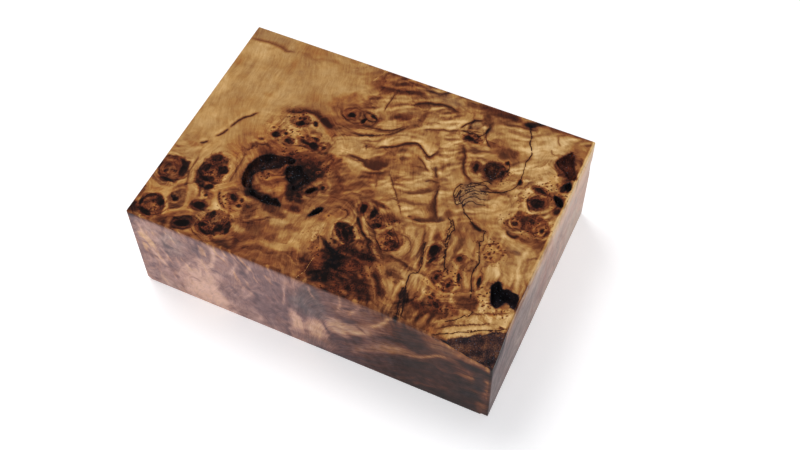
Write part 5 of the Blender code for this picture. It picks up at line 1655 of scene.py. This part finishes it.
# Wood colours by tone, as sRGB out of 255: tone, plain, grey, red
WOOD = (
    (0.00, (17, 13, 12), (14, 15, 18), (26, 12, 9)),
    (0.08, (25, 19, 18), (23, 22, 26), (38, 20, 17)),
    (0.18, (49, 30, 25), (42, 33, 36), (59, 31, 25)),
    (0.30, (84, 47, 32), (72, 50, 47), (92, 44, 31)),
    (0.42, (112, 66, 41), (103, 70, 54), (120, 62, 38)),
    (0.54, (138, 87, 53), (130, 92, 66), (145, 83, 49)),
    (0.66, (159, 108, 62), (151, 109, 72), (168, 103, 53)),
    (0.78, (178, 132, 77), (172, 132, 86), (184, 128, 67)),
    (0.90, (200, 156, 98), (193, 156, 106), (205, 153, 86)),
    (1.05, (230, 191, 134), (224, 193, 142), (234, 187, 122)),
)


# Fine noises in the grain's frame: how closely they lie across, along and down it, detail, roughness
GRAIN_NOISES = {
    "fibres": ((1.5, 0.11, 0.3), 3.0, 0.6),
    "threads": ((2.8, 0.35, 0.9), 2.0, 0.5),
    "blots": ((0.75, 0.28, 0.3), 4.0, 0.6),
    "pores": ((3.2, 0.6, 1.2), 1.0, 0.5),
    "mists": ((0.16, 0.05, 0.1), 3.0, 0.6),
    "curls": ((0.8, 0.3, 0.13), 2.0, 0.6),
}

# Fine noises in the block's own frame: how many lie in a mm, detail, roughness
PLACE_NOISES = {
    "clouds": (0.40, 4.0, 0.55),
    "flecks": (2.4, 2.0, 0.6),
    "ring_patches": (0.11, 2.0, 0.5),
    "halo_patches": (0.5, 1.0, 0.5),
    "wiggle": (1.1, 3.0, 0.6),
    "breaks": (0.8, 2.0, 0.5),
    "warm_drift": (0.22, 3.0, 0.5),
    "glints": (2.3, 1.0, 0.5),
    "crumbs": (1.2, 3.0, 0.6),
}

# How far noises swing the tone: everywhere, and then on raw, wild and sanded wood
SWINGS = {"fibres": 0.20, "threads": 0.20, "clouds": 0.18, "mists": 0.45, "flecks": 0.12}
RAW_FLECKS = 0.7
WILD_STRANDS = 1.0
WILD_BLOTS = 0.36
SANDED_CURLS = 0.7

# The sides' pale film, part sanding haze and part painted reflection, over dark and over light wood,
# plain and grey, and a painted glint in the raw places
HAZE_AND_SHEEN_ON_DARK = ((0.50, 0.42, 0.44), (0.49, 0.46, 0.47))
HAZE_AND_SHEEN_ON_LIGHT = ((0.91, 0.76, 0.73), (0.88, 0.81, 0.79))
GLINT = (0.26, 0.32, 0.42, 1.0)

# The colour sockets of a mix node: two in, one out
MIX_FIRST, MIX_SECOND, MIX_RESULT = 6, 7, 2


class Nodes:
    """Short calls for building one material's node tree."""

    def __init__(self, tree):
        self.tree = tree

    def add(self, kind, **settings):
        node = self.tree.nodes.new(kind)
        for name, value in settings.items():
            setattr(node, name, value)
        return node

    def feed(self, socket, value):
        if isinstance(value, bpy.types.NodeSocket):
            self.tree.links.new(value, socket)
        else:
            socket.default_value = value

    def math(self, operation, *values, clamp=False):
        node = self.add("ShaderNodeMath", operation=operation, use_clamp=clamp)
        for socket, value in zip(node.inputs, values):
            self.feed(socket, value)
        return node.outputs[0]

    def plus(self, first, second, clamp=False):
        return self.math("ADD", first, second, clamp=clamp)

    def minus(self, first, second, clamp=False):
        return self.math("SUBTRACT", first, second, clamp=clamp)

    def times(self, first, *others):
        for other in others:
            first = self.math("MULTIPLY", first, other)
        return first

    def rest(self, value):
        """What the value leaves of 1."""
        return self.minus(1.0, value)

    def lift(self, base, amount, share, clamp=False):
        """The base with a share of an amount added."""
        return self.math("MULTIPLY_ADD", amount, share, base, clamp=clamp)

    def towards(self, base, goal, share):
        """The base moved a share of the way to the goal."""
        return self.lift(base, share, self.minus(goal, base))

    def attribute(self, name, output="Fac"):
        return self.add("ShaderNodeAttribute", attribute_name=name).outputs[output]

    def scale(self, vector, factors):
        node = self.add("ShaderNodeVectorMath", operation="MULTIPLY")
        self.feed(node.inputs[0], vector)
        node.inputs[1].default_value = factors
        return node.outputs[0]

    def noise(self, vector, scale, detail, roughness):
        node = self.add("ShaderNodeTexNoise", noise_dimensions="3D")
        self.feed(node.inputs["Vector"], vector)
        node.inputs["Scale"].default_value = scale
        node.inputs["Detail"].default_value = detail
        node.inputs["Roughness"].default_value = roughness
        return node.outputs["Fac"]

    def centred(self, value, strength):
        """A noise value moved to swing about zero."""
        return self.times(self.minus(value, 0.5), strength)

    def step(self, value, low, high):
        """0 below the first bound, 1 above the second, smooth between."""
        node = self.add("ShaderNodeMapRange", interpolation_type="SMOOTHSTEP")
        self.feed(node.inputs["Value"], value)
        node.inputs["From Min"].default_value = low
        node.inputs["From Max"].default_value = high
        return node.outputs["Result"]

    def band(self, value, rise, fall):
        """0 outside a band of the value and 1 within, from where it rises to where it falls."""
        return self.times(self.step(value, *rise), self.rest(self.step(value, *fall)))

    def mix(self, share, first, second):
        node = self.add("ShaderNodeMix", data_type="RGBA", clamp_factor=True)
        self.feed(node.inputs["Factor"], share)
        self.feed(node.inputs[MIX_FIRST], first)
        self.feed(node.inputs[MIX_SECOND], second)
        return node.outputs[MIX_RESULT]

    def ramp(self, value, column):
        node = self.add("ShaderNodeValToRGB")
        stops = node.color_ramp.elements
        while len(stops) < len(WOOD):
            stops.new(0.5)
        for stop, row in zip(stops, WOOD):
            stop.position = row[0] / WOOD[-1][0]
            stop.color = opaque(c / 255 for c in row[column])
        self.feed(node.inputs["Fac"], self.math("DIVIDE", value, WOOD[-1][0]))
        return node.outputs["Color"]


class BurlNodes(Nodes):
    """The burl's node tree, with the values that several of its layers share."""

    def __init__(self, tree):
        super().__init__(tree)
        self.grain = self.attribute("grain", "Vector")
        self.place = self.scale(self.add("ShaderNodeTexCoord").outputs["Object"], (1.0 / MM,) * 3)
        self.fine = {}
        for name, (closeness, detail, roughness) in GRAIN_NOISES.items():
            self.fine[name] = self.noise(self.scale(self.grain, closeness), 1.0, detail, roughness)
        for name, (scale, detail, roughness) in PLACE_NOISES.items():
            self.fine[name] = self.noise(self.place, scale, detail, roughness)
        self.raw = self.attribute("raw")
        self.cut = self.rest(self.raw)
        self.wild = self.attribute("wild")
        self.side = self.step(self.attribute("dust_and_sheen"), 0.0, 0.08)

    def swing(self, name, strength):
        return self.centred(self.fine[name], strength)


def growth_strands(nodes):
    """Streaks that follow the growth rings."""
    ring = nodes.lift(nodes.attribute("ring"), nodes.fine["clouds"], 0.5)
    split = nodes.add("ShaderNodeSeparateXYZ")
    nodes.feed(split.inputs[0], nodes.grain)
    across, along = split.outputs[0], split.outputs[1]
    joined = nodes.add("ShaderNodeCombineXYZ")
    for socket, value, closeness in zip(joined.inputs, (ring, along, across), (2.6, 0.07, 0.10)):
        nodes.feed(socket, nodes.times(value, closeness))
    return nodes.noise(joined.outputs[0], 1.0, 3.0, 0.6)


def draw_grain(nodes, tone):
    """Fibres, clouds and pores. Gives the tone and how much figure it takes, which is less in dark wood."""
    swing = None
    for name, strength in SWINGS.items():
        layer = nodes.swing(name, strength)
        swing = layer if swing is None else nodes.plus(swing, layer)
    swing = nodes.lift(swing, nodes.swing("flecks", RAW_FLECKS), nodes.raw)
    strands = nodes.centred(growth_strands(nodes), WILD_STRANDS)
    swing = nodes.lift(swing, nodes.plus(strands, nodes.swing("blots", WILD_BLOTS)), nodes.wild)
    bared = nodes.times(nodes.side, nodes.lift(1.0, nodes.attribute("dust_and_sheen"), -0.8))
    swing = nodes.lift(swing, nodes.swing("curls", SANDED_CURLS), bared)
    amount = nodes.lift(0.38, tone, 0.75, clamp=True)
    tone = nodes.lift(tone, swing, amount)
    return nodes.lift(tone, nodes.step(nodes.fine["pores"], 0.66, 0.74), -0.05), amount


def draw_fold_shade_and_highlight(nodes, tone):
    """Painted shade on each fold's dark side, from its crisp edge to where it has faded, and a painted pale
    highlight just before the edge.
    """
    power = nodes.attribute("fold_shade_power")
    across = nodes.plus(nodes.attribute("fold"), nodes.swing("flecks", 0.35))
    across = nodes.plus(across, nodes.swing("clouds", 0.9))
    onset = nodes.step(across, -0.22, 0.06)
    fade = nodes.math("POWER", nodes.minus(1.0, nodes.math("MAXIMUM", across, 0.0), clamp=True), 1.6)
    tone = nodes.towards(tone, nodes.attribute("fold_shade_tone"), nodes.times(onset, fade, power))
    painted_highlight = nodes.band(across, (-2.6, -1.2), (-0.9, -0.3))
    return nodes.lift(tone, nodes.times(painted_highlight, power), 0.12)


def draw_rings(nodes, tone, amount):
    """A dark edge at each growth ring that fades inwards, in patches of wild grain."""
    sway = nodes.plus(nodes.swing("clouds", 0.9), nodes.swing("flecks", 0.10))
    phase = nodes.math("FRACT", nodes.plus(nodes.attribute("ring"), sway))
    fading = nodes.math("POWER", nodes.rest(phase), 4.0)
    crease = nodes.plus(fading, nodes.step(phase, 0.95, 1.0), clamp=True)
    shown = nodes.times(nodes.step(nodes.fine["ring_patches"], 0.36, 0.58), nodes.wild)
    tone = nodes.lift(tone, nodes.times(crease, shown, amount), -0.26)
    return nodes.lift(tone, shown, 0.04)


def add_contrast(nodes, tone):
    """Light tones lighter and dark ones darker, most in wild grain."""
    from_middle = nodes.minus(tone, 0.5)
    bend = nodes.math("SINE", nodes.times(from_middle, 2.0 * math.pi))
    strength = nodes.lift(0.02, nodes.wild, 0.06)
    inner = nodes.math("LESS_THAN", nodes.math("ABSOLUTE", from_middle), 0.5)
    return nodes.lift(tone, nodes.times(bend, strength), inner)


def draw_eyes(nodes, tone):
    """The eyes' dark cores and the halos round them. Gives the tone and the halo."""
    edge = nodes.plus(nodes.attribute("eye_edge"), nodes.swing("flecks", 1.0))
    halo = nodes.band(edge, (0.15, 0.4), (0.5, 1.1))
    halo = nodes.times(halo, nodes.step(nodes.fine["halo_patches"], 0.42, 0.56))
    tone = nodes.lift(tone, halo, 0.11)
    core = nodes.times(nodes.rest(nodes.step(edge, -0.35, 0.2)), nodes.cut)
    return nodes.lift(tone, core, nodes.times(tone, -0.35)), halo


def draw_zone_lines(nodes, tone):
    """Thin wandering black lines, broken here and there, each in a dark haze."""
    gap = nodes.attribute("line_gap")
    line = nodes.math("ABSOLUTE", nodes.plus(nodes.attribute("line"), nodes.swing("wiggle", 0.5)))
    thin = nodes.rest(nodes.step(line, 0.1, 0.24))
    close = nodes.rest(nodes.step(gap, 0.45, 0.8))
    broken = nodes.step(nodes.fine["breaks"], 0.3, 0.42)
    haze = nodes.times(nodes.rest(nodes.step(gap, 0.1, 1.0)), broken)
    tone = nodes.lift(tone, haze, -0.15)
    return nodes.towards(tone, 0.10, nodes.times(thin, close, broken, 0.85))


def draw_pale_lines(nodes, tone):
    thin = nodes.rest(nodes.step(nodes.math("ABSOLUTE", nodes.attribute("pale")), 0.05, 0.2))
    close = nodes.rest(nodes.step(nodes.attribute("pale_gap"), 0.3, 0.5))
    shown = nodes.times(thin, close, nodes.step(nodes.fine["flecks"], 0.4, 0.6))
    return nodes.towards(tone, 0.98, shown)


def draw_specks(nodes, tone):
    """Crowded dark specks with pale rims. Gives the tone and the rims."""
    cells = nodes.add("ShaderNodeTexVoronoi")
    nodes.feed(cells.inputs["Vector"], nodes.scale(nodes.place, (0.8, 0.8, 0.3)))
    cells.inputs["Scale"].default_value = 1.0
    apart = nodes.plus(cells.outputs["Distance"], nodes.swing("flecks", 0.5))
    crowd = nodes.times(nodes.attribute("busy"), nodes.cut)
    specks = nodes.times(nodes.rest(nodes.step(apart, 0.16, 0.30)), crowd)
    rims = nodes.times(nodes.band(apart, (0.22, 0.32), (0.36, 0.52)), crowd)
    tone = nodes.lift(tone, specks, nodes.times(nodes.minus(0.12, tone), 0.85))
    return nodes.lift(tone, rims, 0.10), rims


def colour_wood(nodes, tone, redder):
    """The wood's colour for its tone and warmth. Gives the colour and the grey's share in it."""
    warmth = nodes.plus(nodes.attribute("warmth"), nodes.swing("warm_drift", 1.4))
    warmth = nodes.lift(warmth, redder, 0.6)
    grey = nodes.math("MULTIPLY", warmth, -1.0, clamp=True)
    red = nodes.math("MULTIPLY", warmth, 1.0, clamp=True)
    colour = nodes.mix(grey, nodes.ramp(tone, 1), nodes.ramp(tone, 2))
    return nodes.mix(red, colour, nodes.ramp(tone, 3)), grey


def lay_haze_and_sheen(nodes, colour, tone, grey):
    """A pale film over the sawn sides, part sanding haze and part painted reflection, paler over pale wood.
    """
    painted = nodes.attribute("dust_and_sheen")
    amount = nodes.lift(painted, nodes.swing("clouds", 1.0), 0.5)
    amount = nodes.math("MULTIPLY", amount, nodes.step(painted, 0.0, 0.1), clamp=True)
    on_dark = nodes.mix(grey, *(opaque(c) for c in HAZE_AND_SHEEN_ON_DARK))
    on_light = nodes.mix(grey, *(opaque(c) for c in HAZE_AND_SHEEN_ON_LIGHT))
    return nodes.mix(amount, colour, nodes.mix(nodes.step(tone, 0.15, 1.0), on_dark, on_light))


def set_gloss(nodes, surface):
    """A polished top, and duller sides and raw places."""
    rough = nodes.lift(POLISH, nodes.swing("clouds", 1.0), 0.10)
    rough = nodes.lift(rough, nodes.side, SANDED - POLISH)
    rough = nodes.lift(rough, nodes.raw, RAW - POLISH)
    nodes.feed(surface.inputs["Roughness"], rough)
    surface.inputs["IOR"].default_value = 1.36
    surface.inputs["Specular IOR Level"].default_value = 0.15


def set_relief(nodes, surface):
    """Faint fibres in the cut wood, and crumbs in the raw places."""
    relief = nodes.times(nodes.swing("fibres", 0.25), nodes.cut)
    crumbs = nodes.times(nodes.swing("crumbs", 3.0), nodes.raw)
    bump = nodes.add("ShaderNodeBump")
    bump.inputs["Strength"].default_value = 0.6
    bump.inputs["Distance"].default_value = 0.1 * MM
    nodes.feed(bump.inputs["Height"], nodes.plus(relief, crumbs))
    nodes.feed(surface.inputs["Normal"], bump.outputs["Normal"])


def burl_material():
    material = bpy.data.materials.new("figured_burl")
    material.use_nodes = True
    surface = material.node_tree.nodes["Principled BSDF"]
    nodes = BurlNodes(material.node_tree)
    tone, amount = draw_grain(nodes, nodes.attribute("tone"))
    # Painted shade on each fold's dark side, and a painted pale highlight before its edge
    tone = draw_fold_shade_and_highlight(nodes, tone)
    tone = draw_rings(nodes, tone, amount)
    tone = add_contrast(nodes, tone)
    tone, halo = draw_eyes(nodes, tone)
    tone = draw_zone_lines(nodes, tone)
    tone = draw_pale_lines(nodes, tone)
    tone, rims = draw_specks(nodes, tone)
    colour, grey = colour_wood(nodes, tone, redder=nodes.plus(rims, halo))
    # Pale haze on the sides: part left by sanding, part painted reflection
    colour = lay_haze_and_sheen(nodes, colour, tone, grey)
    glints = nodes.times(nodes.step(nodes.fine["glints"], 0.69, 0.75), nodes.raw, 0.45)
    nodes.feed(surface.inputs["Base Color"], nodes.mix(glints, colour, GLINT))
    set_gloss(nodes, surface)
    set_relief(nodes, surface)
    return material


def floor_material():
    material = bpy.data.materials.new("white_floor")
    material.use_nodes = True
    surface = material.node_tree.nodes["Principled BSDF"]
    surface.inputs["Base Color"].default_value = (0.93, 0.93, 0.94, 1.0)
    surface.inputs["Roughness"].default_value = 0.6
    surface.inputs["Specular IOR Level"].default_value = 0.2
    surface.inputs["Emission Color"].default_value = (1.0, 1.0, 1.0, 1.0)
    surface.inputs["Emission Strength"].default_value = 0.36
    return material


# Studio


def make_floor():
    mesh = bpy.data.meshes.new("floor")
    reach = FLOOR_REACH
    corners = [(-reach, -reach, 0.0), (reach, -reach, 0.0), (reach, reach, 0.0), (-reach, reach, 0.0)]
    mesh.from_pydata(corners, [], [(0, 1, 2, 3)])
    mesh.materials.append(floor_material())
    floor = bpy.data.objects.new("floor", mesh)
    bpy.context.scene.collection.objects.link(floor)


def softbox(name, at, size, watts, mirrored):
    """A square lamp aimed at the block. One that isn't mirrored leaves no highlight on it."""
    data = bpy.data.lights.new(name, "AREA")
    data.shape = "SQUARE"
    data.size = size
    data.energy = watts
    light = bpy.data.objects.new(name, data)
    light.location = at
    light.visible_glossy = mirrored
    light.rotation_euler = (Vector(LIGHT_AIM) - Vector(at)).to_track_quat("-Z", "Y").to_euler()
    bpy.context.scene.collection.objects.link(light)


def make_lights():
    softbox("key", (-0.50, 0.30, 1.15), size=0.6, watts=8.2, mirrored=False)
    softbox("fill", (0.35, -0.95, 0.95), size=0.9, watts=6.2, mirrored=True)
    world = bpy.data.worlds.new("studio")
    world.use_nodes = True
    backdrop = world.node_tree.nodes["Background"]
    backdrop.inputs["Color"].default_value = (0.95, 0.95, 1.0, 1.0)
    backdrop.inputs["Strength"].default_value = 0.28
    bpy.context.scene.world = world


def make_camera():
    data = bpy.data.cameras.new("camera")
    data.lens = LENS
    data.sensor_width = SENSOR
    data.clip_start = 0.01
    camera = bpy.data.objects.new("camera", data)
    forward = Vector(CAMERA_FORWARD).normalized()
    up = Vector(CAMERA_UP).normalized()
    right = forward.cross(up)
    turn = Matrix((right, up, -forward)).transposed().to_4x4()
    camera.matrix_world = Matrix.Translation(Vector(CAMERA_AT) * MM) @ turn
    bpy.context.scene.collection.objects.link(camera)
    bpy.context.scene.camera = camera


block = make_block()
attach(block, "root")
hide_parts(NODE)
make_floor()
make_lights()
make_camera()
bpy.context.scene.view_settings.view_transform = "Standard"
